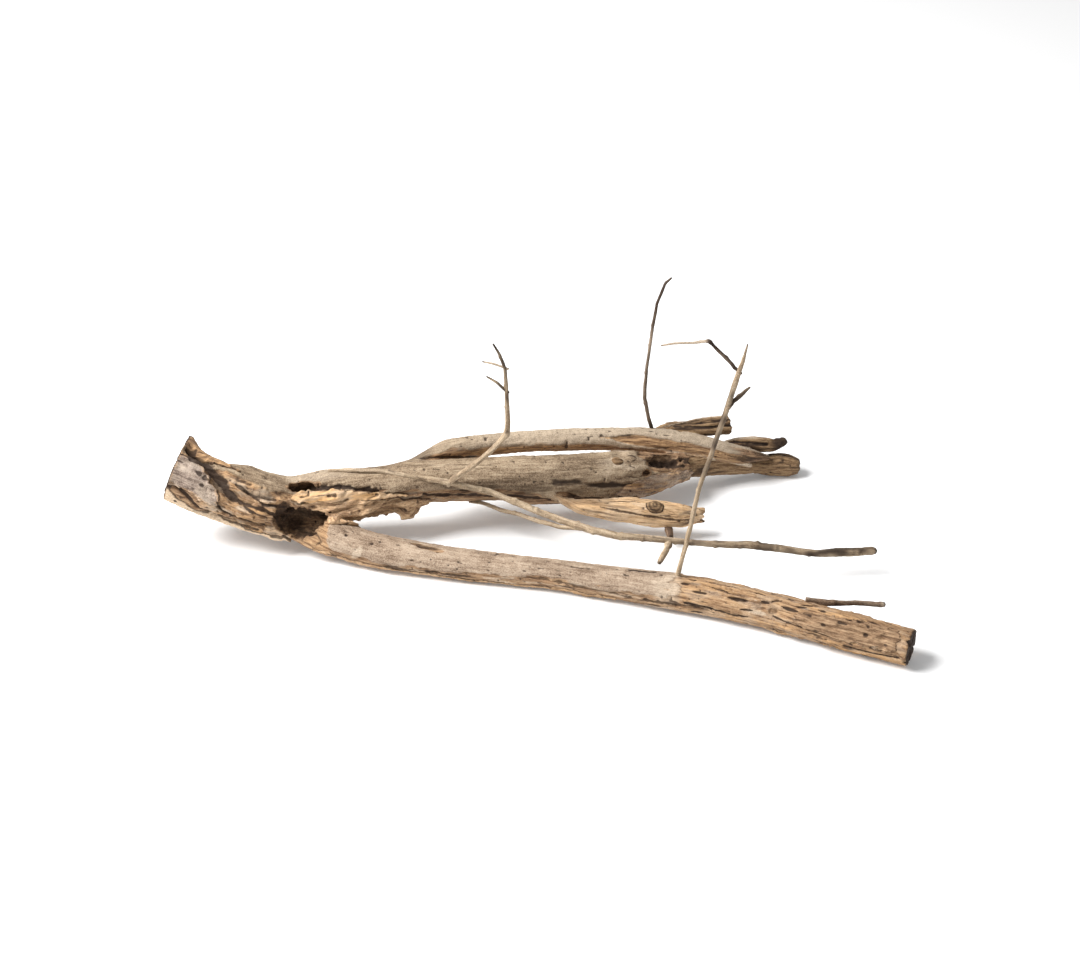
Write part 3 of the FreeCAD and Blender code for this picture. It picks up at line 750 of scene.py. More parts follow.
def guide_distance(guide, low, count, spacing):
    """Distance from a guide and place along it, for every point of a block."""
    gap_kept = np.full(count, FAR, dtype=np.float32)
    place_kept = np.zeros(count, dtype=np.float32)
    rows = [low[i] + spacing * np.arange(count[i]) for i in range(3)]
    marks = list(range(0, len(guide.points) - 1, 2)) + [len(guide.points) - 1]
    for first, second in zip(marks[:-1], marks[1:]):
        start, stop = guide.points[first], guide.points[second]
        reach = guide.radius[first:second + 1].max() + REACH
        near = np.floor((np.minimum(start, stop) - reach - low) / spacing).astype(int)
        far = np.ceil((np.maximum(start, stop) + reach - low) / spacing).astype(int) + 1
        near, far = np.maximum(near, 0), np.minimum(far, count)
        if (far <= near).any():
            continue
        block = tuple(slice(a, b) for a, b in zip(near, far))
        x, y, z = np.ix_(*((rows[i][block[i]] - start[i]).astype(np.float32) for i in range(3)))
        run = (stop - start).astype(np.float32)
        length = float(np.linalg.norm(run))
        t = (x * run[0] + y * run[1] + z * run[2]) / length ** 2
        least = -OVERRUN if first == 0 and guide.name in FIRST_SAWN else 0.0
        most = OVERRUN if second == marks[-1] else 1.0
        t = np.clip(t, least, most)
        gap = np.sqrt((x - t * run[0]) ** 2 + (y - t * run[1]) ** 2 + (z - t * run[2]) ** 2)
        nearer = gap < gap_kept[block]
        gap_kept[block] = np.where(nearer, gap, gap_kept[block])
        place_kept[block] = np.where(nearer, guide.along[first] + t * length, place_kept[block])
    return gap_kept, place_kept


def places_on(guide, points):
    """Distance along the guide of each point's nearest place on it."""
    nearest = np.full(len(points), 1e9)
    place = np.zeros(len(points))
    for i in range(len(guide.points) - 1):
        start, run = guide.points[i], guide.points[i + 1] - guide.points[i]
        t = np.clip((points - start) @ run / (run @ run), 0.0, 1.0)
        gap = ((points - start - t[:, None] * run) ** 2).sum(1)
        nearer = gap < nearest
        nearest[nearer] = gap[nearer]
        place[nearer] = (guide.along[i] + t * np.linalg.norm(run))[nearer]
    return place


def block_points(block, low, spacing, chosen):
    """World places of the chosen points of a block."""
    index = np.stack(np.nonzero(chosen), axis=-1)
    return low + spacing * (index + [part.start for part in block])


def torn_end(name, limb, points, place):
    """Where the limb ends for each point: fibres of different length at a torn end."""
    ragged, cell = ENDS[name]
    s = np.clip(place, 0.0, limb.length)
    angle = limb.angle(points, s)
    gap = np.linalg.norm(points - limb.at(limb.points, s), axis=1)
    across = np.stack([gap * np.cos(angle), gap * np.sin(angle), place * 0.08], axis=-1)
    short = 0.5 + 0.5 * rough_noise(across, cell, 61, 2)
    return limb.length - ragged * np.clip(short, 0.0, 1.4)


def sawn_face(limb, points, place):
    """How deep a sawn face lies at each point: rough, with drying cracks out from its heart."""
    s = np.clip(place, 0.0, limb.length)
    angle = limb.angle(points, s)
    gap = np.linalg.norm(points - limb.at(limb.points, s), axis=1)
    rim = limb.at(limb.radius, s)
    depth = 0.35 * noise(points, 4.0, 63)
    for turn, width in DRYING_CRACKS:
        across = np.abs(wrap(angle - turn)) * gap + 0.5 * noise(points, 5.0, 65)
        crack = np.clip(1.0 - across / width, 0.0, 1.0) * smooth_step(0.15, 0.4, gap / rim)
        depth = np.maximum(depth, CRACK_DEPTH * np.sqrt(crack))
    return depth


class Wood:
    """The limbs run together into one shape, on a block of points, before it is divided."""

    def __init__(self):
        self.limbs = {name: guide(name) for name in GUIDE_PLAN}
        self.limbs["nub"] = nub_guide()
        reach = REACH + 3.0
        guides = self.limbs.values()
        low = np.min([(g.points - g.radius[:, None]).min(0) for g in guides], axis=0)
        high = np.max([(g.points + g.radius[:, None]).max(0) for g in guides], axis=0)
        self.low = np.floor(low - reach)
        self.low[2] = -3.0
        self.count = np.ceil((high + reach - self.low) / VOXEL).astype(int)
        self.fused = np.full(self.count, REACH, dtype=np.float32)
        self.first = self.fused.copy()
        self.second = self.fused.copy()
        self.owner = np.full(self.count, 255, dtype=np.uint8)
        self.own = {}
        for number, name in enumerate(self.limbs):
            self.add(number, name)
        self.solid = self.fused.copy()
        self.hollow = np.full(self.count, REACH, dtype=np.float32)
        for hollow in HOLLOWS:
            self.carve(*hollow)
        floor = (self.low[2] + VOXEL * np.arange(self.count[2])).astype(np.float32)
        self.fused = np.maximum(self.fused, CLEARANCE - floor)

    def block(self, low, high):
        """The part of the block of points between two corners."""
        near = np.maximum(np.floor((low - self.low) / VOXEL).astype(int), 0)
        far = np.minimum(np.ceil((high - self.low) / VOXEL).astype(int) + 1, self.count)
        return tuple(slice(a, b) for a, b in zip(near, far))

    def add(self, number, name):
        """Run one limb into the shape."""
        limb = self.limbs[name]
        margin = limb.radius.max() + REACH
        block = self.block(limb.points.min(0) - margin, limb.points.max(0) + margin)
        near = np.array([part.start for part in block])
        count = np.array([part.stop - part.start for part in block])
        low = self.low + VOXEL * near
        gap, place = guide_distance(limb, low, count, VOXEL)
        radius = limb.at(limb.radius, place).astype(np.float32)
        own = np.clip(gap - radius, -REACH, REACH)
        band = np.abs(own) < RELIEF_BAND
        points = block_points(block, self.low, VOXEL, band)
        s = np.clip(place[band], 0.0, limb.length)
        skin = Skin(limb, s, limb.angle(points, s))
        SKINS[name](skin)
        own[band] -= skin.relief
        tip = (place > limb.length - TORN_REACH) & (own < NEAR_SKIN)
        points = block_points(block, self.low, VOXEL, tip)
        last = torn_end(name, limb, points, place[tip])
        if name in LAST_SAWN:
            last = limb.length - sawn_face(limb, points, place[tip])
        own[tip] = np.maximum(own[tip], place[tip] - last)
        if name in FIRST_SAWN:
            own = np.maximum(own, -place)
            face = (place < SAWN_REACH) & (own < NEAR_SKIN)
            points = block_points(block, self.low, VOXEL, face)
            own[face] = np.maximum(own[face], sawn_face(limb, points, place[face]) - place[face])
        own = np.clip(own, -REACH, REACH).astype(np.float32)
        root, later, over = BLENDS[name]
        blend = (root + (later - root) * smooth_step(0.0, over, place)).astype(np.float32)
        fused = self.fused[block]
        lap = np.maximum(blend - np.abs(fused - own), 0.0)
        self.fused[block] = np.minimum(fused, own) - lap * lap / (4.0 * blend)
        first, second, owner = self.first[block], self.second[block], self.owner[block]
        nearer = own < first
        self.second[block] = np.where(nearer, first, np.minimum(second, own))
        self.first[block] = np.where(nearer, own, first)
        self.owner[block] = np.where(nearer, np.uint8(number), owner)
        self.own[name] = (block, own)

    def carve(self, name, s, degrees, sink, size, rough):
        """Rot a hollow out of the wood under a place on a limb's skin."""
        limb = self.limbs[name]
        radius = float(limb.at(limb.radius, s))
        angle = math.radians(degrees)
        along, front, up = (limb.at(v, s) for v in (limb.tangent, limb.front, limb.up))
        out = front * math.cos(angle) + up * math.sin(angle)
        middle = limb.at(limb.points, s) + out * (radius - sink)
        axes = np.stack([along, np.cross(out, along), out])
        reach = max(size) * 1.5
        block = self.block(middle - reach, middle + reach)
        chosen = np.ones([part.stop - part.start for part in block], dtype=bool)
        points = block_points(block, self.low, VOXEL, chosen)
        offset = (points - middle) @ axes.T
        inside = np.linalg.norm(offset / np.array(size), axis=1) - 1.0
        inside = inside + rough * rough_noise(points, 5.0, 71, 2)
        inside = (inside * min(size)).reshape(chosen.shape).astype(np.float32)
        self.hollow[block] = np.minimum(self.hollow[block], inside)
        self.fused[block] = np.maximum(self.fused[block], -inside)

    def read(self, values, points):
        """Read values kept on the block at any places, in between its points."""
        scaled = (points - self.low) / VOXEL
        base = np.clip(np.floor(scaled).astype(int), 0, self.count - 2)
        part = np.clip(scaled - base, 0.0, 1.0)
        total = 0.0
        for i in (0, 1):
            for j in (0, 1):
                for k in (0, 1):
                    weight = ((part[:, 0] if i else 1 - part[:, 0])
                              * (part[:, 1] if j else 1 - part[:, 1])
                              * (part[:, 2] if k else 1 - part[:, 2]))
                    total = total + weight * values[base[:, 0] + i, base[:, 1] + j, base[:, 2] + k]
        return total


# limb, place along it (mm), angle, how deep its middle lies (mm), half sizes (mm), raggedness
HOLLOWS = [
    ("butt", 117, -1, 4.0, (23.0, 15.0, 16.0), 0.18),
    ("butt", 101, 14, 4.0, (9.0, 13.0, 10.0), 0.20),
    ("rear_limb", 52, -26, 3.0, (17.0, 11.0, 9.0), 0.16),
    ("rear_limb", 43, 64, 4.5, (14.0, 6.0, 9.0), 0.30),
    ("rear_limb", 372, 69, 2.5, (19.0, 7.5, 9.0), 0.35),
    ("rear_limb", 351, 31, 1.0, (4.0, 3.0, 3.5), 0.30),
    ("nose", 60, 70, 3.0, (9.0, 3.5, 4.0), 0.35),
]
_wood = []


def wood():
    """Make the wood once, and keep it."""
    if not _wood:
        _wood.append(Wood())
    return _wood[0]


# ---- meshes --------------------------------------------------------------------------------
def surface(values, low, spacing):
    """Skin the zero level of a block of distances with four-sided faces, in millimetres."""
    grid = openvdb.FloatGrid(background=3.0)
    grid.copyFromArray(np.clip(values, -3.0, 3.0).astype(np.float32), ijk=(0, 0, 0), tolerance=0.0)
    points, quads = grid.convertToQuads(isovalue=0.0)
    return low + spacing * points.astype(np.float64), quads.astype(np.int64)


def largest_parts(points, quads, least):
    """Drop the loose crumbs of a surface that have fewer points than least."""
    label = np.arange(len(points))
    edges = np.concatenate([quads[:, [0, 1]], quads[:, [1, 2]], quads[:, [2, 3]]])
    while True:
        low = np.minimum(label[edges[:, 0]], label[edges[:, 1]])
        before = label.copy()
        np.minimum.at(label, edges[:, 0], low)
        np.minimum.at(label, edges[:, 1], low)
        label = label[label]
        if np.array_equal(label, before):
            break
    sizes = np.bincount(label, minlength=len(points))
    keep = sizes[label] >= min(least, sizes.max())
    renumber = np.cumsum(keep) - 1
    return points[keep], renumber[quads[keep[quads[:, 0]]]]


# loose parts with fewer points than these are dropped as crumbs
LIMB_CRUMB = 400
BARK_CRUMB = 150
KNOT_CRUMB = 60
# how far a limb beds into its neighbours, as a difference of distances (mm)
BED = 3.0
# how fast a limb's buried part shrinks inside its neighbours (per mm)
SHRINK = 0.06
# the grain inside a rot hollow follows space, not the limb, at this scale
ROT_GRAIN = 0.8


def build_mesh(name, points, faces, marks, slot, nodes):
    """Make a smooth-shaded object from points in millimetres, with values kept at each point."""
    mesh = bpy.data.meshes.new(name)
    sides = faces.shape[1]
    mesh.vertices.add(len(points))
    mesh.vertices.foreach_set("co", (points * MM).astype(np.float32).ravel())
    mesh.loops.add(len(faces) * sides)
    mesh.loops.foreach_set("vertex_index", faces.astype(np.int32).ravel())
    mesh.polygons.add(len(faces))
    mesh.polygons.foreach_set("loop_start", np.arange(0, len(faces) * sides, sides, dtype=np.int32))
    mesh.update(calc_edges=True)
    mesh.validate()
    mesh.shade_smooth()
    for label, values in marks.items():
        if values.ndim == 2:
            layer = mesh.attributes.new(label, "FLOAT_VECTOR", "POINT")
            layer.data.foreach_set("vector", values.astype(np.float32).ravel())
        else:
            layer = mesh.attributes.new(label, "FLOAT", "POINT")
            layer.data.foreach_set("value", values.astype(np.float32).ravel())
    piece = bpy.data.objects.new(name, mesh)
    bpy.context.scene.collection.objects.link(piece)
    mesh.materials.append(finish(slot))
    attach(piece, "root")
    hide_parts(*nodes)
    return piece


def slot_of(node):
    """The material slot that the record gives a node."""
    for row in frame["record"]["subparts"]:
        if row["node"] == node:
            return row["material_slot"]
    raise RuntimeError(f"{node} has no material slot")


def skin_marks(skin, end):
    """The values that a material reads from a worked skin."""
    # painted shade: the dark mark rises where the relief sinks more than 0.8 mm
    shaded = smooth_step(-0.8, -3.4, skin.relief)
    return {
        "grain": skin.grain,
        "dark": np.clip(np.maximum(skin.dark, 0.5 * shaded), 0.0, 1.0),
        "warm": skin.warm,
        "pale": np.clip(skin.pale, 0.0, 1.0),
        "bare": skin.bare,
        "sawn": end,
        "core": np.zeros_like(end),
    }


def sawn_end(name, skin, s, core):
    """Darken the drying cracks of a sawn end with painted shade, and give how much each point is on its
    face.
    """
    length = skin.guide.length
    if name in FIRST_SAWN:
        from_end = s
        end = smooth_step(1.6, 0.9, s)
    elif name in LAST_SAWN:
        from_end = length - s
        end = smooth_step(length - 1.8, length - 1.0, s)
    else:
        return np.zeros_like(s)
    crack = smooth_step(SAWN_REACH, 4.0, from_end)
    crack = crack * smooth_step(skin.radius - 0.8, skin.radius - 2.5, core)
    skin.stain(0.95 * crack)
    skin.strip(crack)
    skin.pale *= 1.0 - crack
    skin.warm *= 1.0 - crack
    return end * smooth_step(skin.radius - 0.4, skin.radius - 1.8, core)


def limb_piece(name):
    """Divide one limb out of the wood; it beds a little into its neighbours where they join."""
    block, own = wood().own[name]
    number = list(wood().limbs).index(name)
    mine = wood().owner[block] == number
    others = np.where(mine, wood().second[block], wood().first[block])
    lead = own - others
    values = wood().fused[block] + SHRINK * np.maximum(lead, 0.0) ** 2
    values = np.maximum(values, lead - BED)
    low = wood().low + VOXEL * np.array([part.start for part in block])
    points, quads = surface(values, low, VOXEL)
    points, quads = largest_parts(points, quads, LIMB_CRUMB)
    limb = wood().limbs[name]
    s = places_on(limb, points)
    skin = Skin(limb, s, limb.angle(points, s))
    SKINS[name](skin)
    gap = wood().read(wood().hollow, points)
    depth = wood().read(wood().solid, points)
    inside = smooth_step(1.8, 0.4, np.abs(gap))
    skin.pale *= 1.0 - 0.9 * inside
    skin.warm *= 1.0 - 0.6 * inside
    # hollow insides turn bare and darker, with painted shade that deepens the further inside the solid
    # wood they lie
    skin.stain(inside * (0.25 + 0.5 * smooth_step(-1.0, -10.0, depth)
                         + 0.2 * skin.strands((0.0, 0.5), 8.0, 4.0, 90)))
    skin.strip(inside)
    core = np.linalg.norm(points - limb.at(limb.points, s), axis=1)
    marks = skin_marks(skin, sawn_end(name, skin, s, core))
    marks["core"] = core
    marks["grain"] = np.where(inside[:, None] > 0.5, points * ROT_GRAIN, marks["grain"])
    return build_mesh(name + "_wood", points, quads, marks, slot_of(name), [name])


# ---- bark plates, torn layers and knots ----------------------------------------------------
# piece: host, outline of (distance, angle) places, thickness at its rim and inside (mm),
# raggedness of its rim (mm), relief of its face (mm), wood shown (0 to 1), darkness (0 to 1)
BARK = {
    "butt_plate": ("butt", [(0, 2), (2, 66), (10, 68), (20, 60), (32, 46), (44, 30), (50, 14),
                            (49, -6), (36, 0), (20, 8), (8, 4)], (2.6, 3.6), 1.8, 1.2, 0.0, 0.0),
    "butt_flap": ("butt", [(0, 92), (0, 128), (10, 124), (26, 104), (44, 88), (58, 76),
                           (40, 76), (22, 80), (8, 84)], (2.2, 4.0), 1.6, 0.8, 0.75, 0.15),
    "butt_lower_strip": ("butt", [(1, -8), (16, -22), (34, -36), (56, -44), (80, -40), (100, -34),
                                  (112, -46), (104, -66), (60, -74), (20, -72), (1, -66)],
                         (1.4, 2.1), 1.2, 0.4, 0.15, 0.0),
    "torn_layers": ("rear_limb", [(36, 26), (52, 30), (80, 24), (104, 6), (128, -8), (158, -20),
                                  (154, -58), (120, -80), (94, -82), (76, -60), (62, -12)],
                    (1.6, 3.2), 1.1, 1.4, 0.9, 0.1),
    "golden_shelf": ("rear_limb", [(28, 38), (36, 52), (48, 52), (70, 46), (96, 29), (126, 12),
                                   (140, 3), (112, 5), (84, 17), (58, 24), (40, 26)],
                     (1.8, 3.8), 1.6, 1.0, 1.0, 0.0),
    "rear_tongue": ("rear_limb", [(332, 0), (346, 14), (362, 26), (384, 26), (403, 14), (405, 0),
                                  (392, -20), (366, -32), (336, -34), (322, -18)],
                    (1.5, 2.4), 1.4, 0.7, 0.0, 0.0),
    "front_edge_strip": ("front_limb", [(58, -40), (84, -26), (130, -30), (178, -30), (226, -36),
                                        (290, -30), (330, -26), (330, -52), (270, -60),
                                        (200, -62), (120, -60), (64, -58)],
                         (0.8, 1.5), 1.8, 0.8, 1.0, 0.1),
    "front_end_bark": ("front_limb", [(486, 44), (500, 62), (530, 70), (560, 78), (578, 80),
                                      (581, 50), (578, 22), (556, 4), (520, 2), (496, 14)],
                       (0.9, 1.5), 2.4, 0.7, 0.9, 0.2),
}
KNOTS = {
    "stub_knot": ("lower_stub", 118, 64, 8.5, 6.8),
    "rear_knot": ("rear_limb", 326, 69, 5.2, 4.6),
}


def inside_outline(x, y, outline):
    """Distance in from an outline: above 0 inside it."""
    nearest = np.full(len(x), 1e9)
    crossings = np.zeros(len(x), dtype=bool)
    for (x0, y0), (x1, y1) in zip(outline, outline[1:] + outline[:1]):
        dx, dy = x1 - x0, y1 - y0
        t = np.clip(((x - x0) * dx + (y - y0) * dy) / (dx * dx + dy * dy), 0.0, 1.0)
        nearest = np.minimum(nearest, np.hypot(x - x0 - t * dx, y - y0 - t * dy))
        if dy:
            crossings ^= ((y0 > y) != (y1 > y)) & (x < dx * (y - y0) / dy + x0)
    return np.where(crossings, nearest, -nearest)


PLATE_VOXEL = 0.8
# how far round a limb a bark plate or a knot is worked out (mm)
BARK_MARGIN = 11.0
KNOT_MARGIN = 9.0
# how far plates and knots bed into the wood, and the thinnest a plate gets (mm)
BURIED = 1.4
THINNEST = 0.5
# how steep the rim of a plate or a knot is
RIM_SLOPE = 0.8
# how far plates keep off the floor and the rot hollows (mm)
FLOOR_GAP = 0.5
HOLLOW_GAP = 1.2
# growth rings from a knot's middle to its rim, in radians
KNOT_RINGS = 15.0


def plate_block(host, low_s, high_s, margin):
    """Points round part of a limb, with their places and angles on it."""
    limb = wood().limbs[host]
    chosen = (limb.along >= low_s - 6.0) & (limb.along <= high_s + 6.0)
    reach = limb.radius[chosen] + margin
    low = (limb.points[chosen] - reach[:, None]).min(0)
    high = (limb.points[chosen] + reach[:, None]).max(0)
    low[2] = max(low[2], -1.0)
    count = np.ceil((high - low) / PLATE_VOXEL).astype(int)
    gap, place = guide_distance(limb, low, count, PLATE_VOXEL)
    radius = limb.at(limb.radius, place)
    band = (np.abs(gap - radius) < margin) & (place > low_s - 5.0) & (place < high_s + 5.0)
    index = np.stack(np.nonzero(band), axis=-1)
    return limb, low, count, band, low + PLATE_VOXEL * index, place[band]


def bark_face(skin, inside, relief, seed):
    """The relief of a plate's outer face."""
    skin.relief = relief * skin.fibre(22.0, 3.2, seed)
    skin.relief += 0.5 * relief * noise(skin.grain, (5.0, 3.0, 3.0), seed + 5)
    skin.relief += 0.25 * noise(skin.grain, (2.4, 1.8, 1.8), seed + 8)
    pits = noise(skin.grain, (6.0, 3.4, 3.4), seed + 9)
    skin.relief -= 1.1 * smooth_step(0.5, 0.8, pits)
    skin.stain(0.8 * smooth_step(0.5, 0.72, pits))
    # painted shade along the plate's ragged rim
    skin.stain(0.7 * smooth_step(1.0, 0.1, inside))


def flap_swell(skin, inside):
    """The flap stands up towards the butt's top edge."""
    return 3.0 * smooth_step(18.0, 0.0, skin.s) * smooth_step(86.0, 112.0, skin.degrees)


def strip_swell(skin, inside):
    """The lower strip curls out at its far lip."""
    return 1.8 * smooth_step(86.0, 98.0, skin.s)


def curled_rim(skin, inside):
    """The plate's rim curls away from the wood."""
    return 1.2 * smooth_step(6.0, 0.5, inside)


SWELLS = {"butt_flap": flap_swell, "butt_lower_strip": strip_swell,
          "golden_shelf": curled_rim, "butt_plate": curled_rim}


def shelf_finish(skin, inside, torn, seed):
    """Bright torn wood, a little bleached, with thin dark strands."""
    skin.warm[:] = 0.6 + 0.4 * torn
    skin.bleach(0.4 * skin.strands((0.0, 0.5), 16.0, 4.0, seed + 24))
    skin.stain(0.8 * skin.strands((0.55, 0.85), 24.0, 2.4, seed + 22))


def flap_finish(skin, inside, torn, seed):
    """Golden towards its foot, and dark at its outer corner."""
    skin.gild(0.5 * smooth_step(104.0, 90.0, skin.degrees))
    skin.stain(0.5 * smooth_step(102.0, 88.0, skin.degrees) * torn)
    skin.stain(0.85 * smooth_step(8.0, 0.0, skin.s) * smooth_step(104.0, 116.0, skin.degrees))


def strip_finish(skin, inside, torn, seed):
    """Smooth and pale, with a bright far lip."""
    lip = smooth_step(82.0, 96.0, skin.s)
    skin.gild(0.3 * torn + 0.5 * lip)
    skin.bleach(0.35 + 0.25 * lip)


def tongue_finish(skin, inside, torn, seed):
    """Half bare, with pale strands and dark specks."""
    skin.bare[:] = 0.2 + 0.3 * torn
    skin.gild(0.25 + 0.35 * torn)
    skin.bleach(0.25 * skin.strands((0.0, 0.5), 14.0, 4.0, 68))
    skin.stain(0.5 * smooth_step(0.3, 0.6, noise(skin.grain, (5.0, 3.0, 3.0), 66)))


def plate_finish(skin, inside, torn, seed):
    """Grey bark with dark spots and a golden rim."""
    skin.bleach(0.3 * torn)
    skin.stain(0.9 * smooth_step(0.25, 0.5, noise(skin.grain, (6.0, 4.0, 4.0), 64)))
    skin.gild(0.6 * smooth_step(2.5, 0.5, inside))


def edge_finish(skin, inside, torn, seed):
    """Golden strands."""
    skin.gild(0.4 * torn)


FACES = {"golden_shelf": shelf_finish, "butt_flap": flap_finish, "butt_lower_strip": strip_finish,
         "rear_tongue": tongue_finish, "butt_plate": plate_finish, "front_edge_strip": edge_finish}


def worked_bark(name, limb, points, s):
    """The worked skin of a bark piece, and how far inside its ragged outline each point is."""
    _, outline, _, ragged, relief, _, _ = BARK[name]
    seed = bark_seed(name)
    centre = sum(p[1] for p in outline) / len(outline)
    s = np.clip(s, 0.0, limb.length)
    skin = Skin(limb, s, limb.angle(points, s))
    line = [(x, float(limb.at(limb.radius, x)) * math.radians(degrees - centre))
            for x, degrees in outline]
    inside = inside_outline(skin.s, skin.around(centre), line)
    inside = inside + ragged * (skin.ragged + 0.6 * noise(skin.grain, (3.0, 1.8, 1.8), seed))
    bark_face(skin, inside, relief, seed)
    if name == "torn_layers":
        skin.layers(np.ones_like(inside), 22.0, 6.0, 1.1, seed + 30, 0.45)
    return skin, inside


def bark_seed(name):
    """The first of a bark piece's own noise seeds."""
    return 1000 + 40 * list(BARK).index(name)


def bark_piece(name):
    """Shape a ragged plate over the wood, following its outline on the host limb."""
    host, outline, (rim, middle), _, _, bare, shade = BARK[name]
    seed = bark_seed(name)
    low_s, high_s = min(p[0] for p in outline), max(p[0] for p in outline)
    limb, low, count, band, points, s = plate_block(host, low_s, high_s, BARK_MARGIN)
    skin, inside = worked_bark(name, limb, points, s)
    base = wood().read(wood().fused, points)
    thick = rim + (middle - rim) * smooth_step(0.0, 7.0, inside) + skin.relief
    thick = thick * bpy.context.scene.branch_wood.bark_thickness
    if name in SWELLS:
        thick = thick + SWELLS[name](skin, inside)
    thick = np.maximum(thick, THINNEST)
    past_end = -s if host == "butt" else s - limb.length
    values = np.full(count, 3.0, dtype=np.float32)
    values[band] = np.maximum(np.maximum(base - thick, -(base + BURIED)), -inside * RIM_SLOPE)
    values[band] = np.maximum(values[band], past_end)
    values[band] = np.maximum(values[band], FLOOR_GAP - points[:, 2])
    values[band] = np.maximum(values[band], HOLLOW_GAP - wood().read(wood().hollow, points))
    points, quads = surface(values, low, PLATE_VOXEL)
    points, quads = largest_parts(points, quads, BARK_CRUMB)
    s = places_on(limb, points)
    skin, inside = worked_bark(name, limb, points, s)
    skin.bare[:] = bare
    torn = skin.strands((-0.3, 0.4), 18.0, 2.6, seed + 20)
    skin.stain(shade * torn)
    if name in FACES:
        FACES[name](skin, inside, torn, seed)
    under = wood().read(wood().fused, points)
    skin.strip(smooth_step(0.8, 0.0, under))
    end = np.zeros_like(s)
    if host == "butt":
        end = smooth_step(1.0, 0.4, s)
        skin.stain(0.9 * smooth_step(2.4, 1.0, s))
    build_mesh(name + "_bark", points, quads, skin_marks(skin, end), slot_of(name), [name])


def worked_knot(name, limb, points, s):
    """The worked skin of a knot, and how far out of its oval each point is."""
    _, place, degrees, long, wide = KNOTS[name]
    s = np.clip(s, 0.0, limb.length)
    skin = Skin(limb, s, limb.angle(points, s))
    out = skin.spot(place, degrees, long, wide, 0.0, 0.08)
    skin.relief = 0.35 * np.cos(out * KNOT_RINGS) + 0.3 * noise(skin.grain, 2.2, 77)
    return skin, out


def knot_piece(name):
    """A round knot: rings that swell in the middle, with a dark split rim."""
    host, place, _, long, wide = KNOTS[name]
    limb, low, count, band, points, s = plate_block(host, place - long, place + long, KNOT_MARGIN)
    skin, out = worked_knot(name, limb, points, s)
    base = wood().read(wood().fused, points)
    thick = 1.8 - 1.3 * smooth_step(0.5, 1.0, out) + 0.6 * skin.relief
    values = np.full(count, 3.0, dtype=np.float32)
    values[band] = np.maximum(np.maximum(base - thick, -(base + BURIED)), (out - 1.0) * wide * RIM_SLOPE)
    points, quads = surface(values, low, PLATE_VOXEL)
    points, quads = largest_parts(points, quads, KNOT_CRUMB)
    s = places_on(limb, points)
    skin, out = worked_knot(name, limb, points, s)
    skin.bare[:] = 1.0
    strong = 1.0 if name == "stub_knot" else 0.4
    skin.stain(strong * (0.25 + 0.4 * smooth_step(0.2, -0.4, np.cos(out * KNOT_RINGS))))
    skin.stain(0.95 * strong * smooth_step(0.80, 0.96, out))
    build_mesh(name, points, quads, skin_marks(skin, np.zeros_like(s)), slot_of(name), [name])


# ---- twigs ---------------------------------------------------------------------------------
# twig: axis cut across, left out at its root and tip (mm), least radius at its root (mm)
TWIGS = {
    "long_twig": (0, 3.0, 3.0, 1.9),
    "fork_twig": (0, 4.0, 3.0, 2.1),
    "riser_twig": (2, 3.0, 1.0, 2.6),
    "riser_low_twiglet": (0, 1.0, 3.0, 0.9),
    "riser_high_twiglet": (0, 1.0, 3.0, 0.8),
    "upright_twig": (2, 3.0, 1.0, 1.8),
    "straight_twig": (2, 3.0, 1.0, 2.5),
    "crook_twig": (0, 1.0, 2.0, 0.8),
    "spur_twig": (0, 2.0, 1.0, 1.6),
    "back_twig": (0, 3.0, 3.0, 2.8),
    "stub_peg": (1, 2.0, 2.0, 3.0),
    "long_twig_spur": (1, 2.0, 2.0, 2.2),
}
# twigs whose root is at the high end of their axis
ROOT_HIGH = ("riser_low_twiglet", "riser_high_twiglet", "crook_twig", "stub_peg", "long_twig_spur")
# twig: how dark it is at shares of its length from the root
TWIG_SHADE = {
    "long_twig": [(0.0, 0.0), (0.62, 0.1), (0.66, 0.75), (0.72, 0.6), (0.86, 0.85), (1.0, 0.75)],
    "fork_twig": [(0.0, 0.7), (0.3, 0.25), (1.0, 0.5)],
    "riser_twig": [(0.0, 0.25), (0.42, 0.2), (0.7, 0.7), (1.0, 0.85)],
    "riser_low_twiglet": [(0.0, 0.9), (1.0, 1.0)],
    "upright_twig": [(0.0, 1.0), (0.15, 0.6), (0.6, 0.5), (0.8, 0.9), (1.0, 1.1)],
    "straight_twig": [(0.0, 0.1), (0.35, 0.3), (0.45, 0.8), (0.75, 0.85), (0.88, 0.2), (1.0, 0.4)],
    "crook_twig": [(0.0, 0.8), (0.5, 0.9), (0.55, 0.0), (1.0, 0.0)],
    "spur_twig": [(0.0, 0.9), (1.0, 1.0)],
}
# twig: how bleached it is at shares of its length from the root
TWIG_PALE = {
    "upright_twig": [(0.0, 0.0), (0.15, 0.25), (0.6, 0.4), (0.8, 0.0), (1.0, 0.0)],
    "crook_twig": [(0.0, 0.0), (0.48, 0.0), (0.56, 0.7), (1.0, 0.6)],
    "back_twig": [(0.0, 0.0), (0.94, 0.0), (0.97, 0.8), (1.0, 0.8)],
    "riser_high_twiglet": [(0.0, 0.3), (1.0, 0.6)],
}
# twigs that are thinner than their solid
SLENDER = {"straight_twig": 0.80, "fork_twig": 0.84, "riser_twig": 0.92}
# distance between the cuts that a twig is measured by (mm)
TWIG_SLICE = 1.6
# the share of a twig over which its least root radius holds
ROOT_SHARE = 0.3
# how far a twig's root reaches into what it grows from, in two steps (mm)
ROOT_STEPS = (6.0, 3.0)
# the span over which a bend is judged (mm), and the least and most between buds (mm)
BEND_SPAN = 4.0
BUD_GAPS = (14.0, 34.0)
MOST_BUDS = 40
# sides of a twig's tube, and the distance between its rings (mm)
TWIG_SIDES = 14
TWIG_RING = 1.3


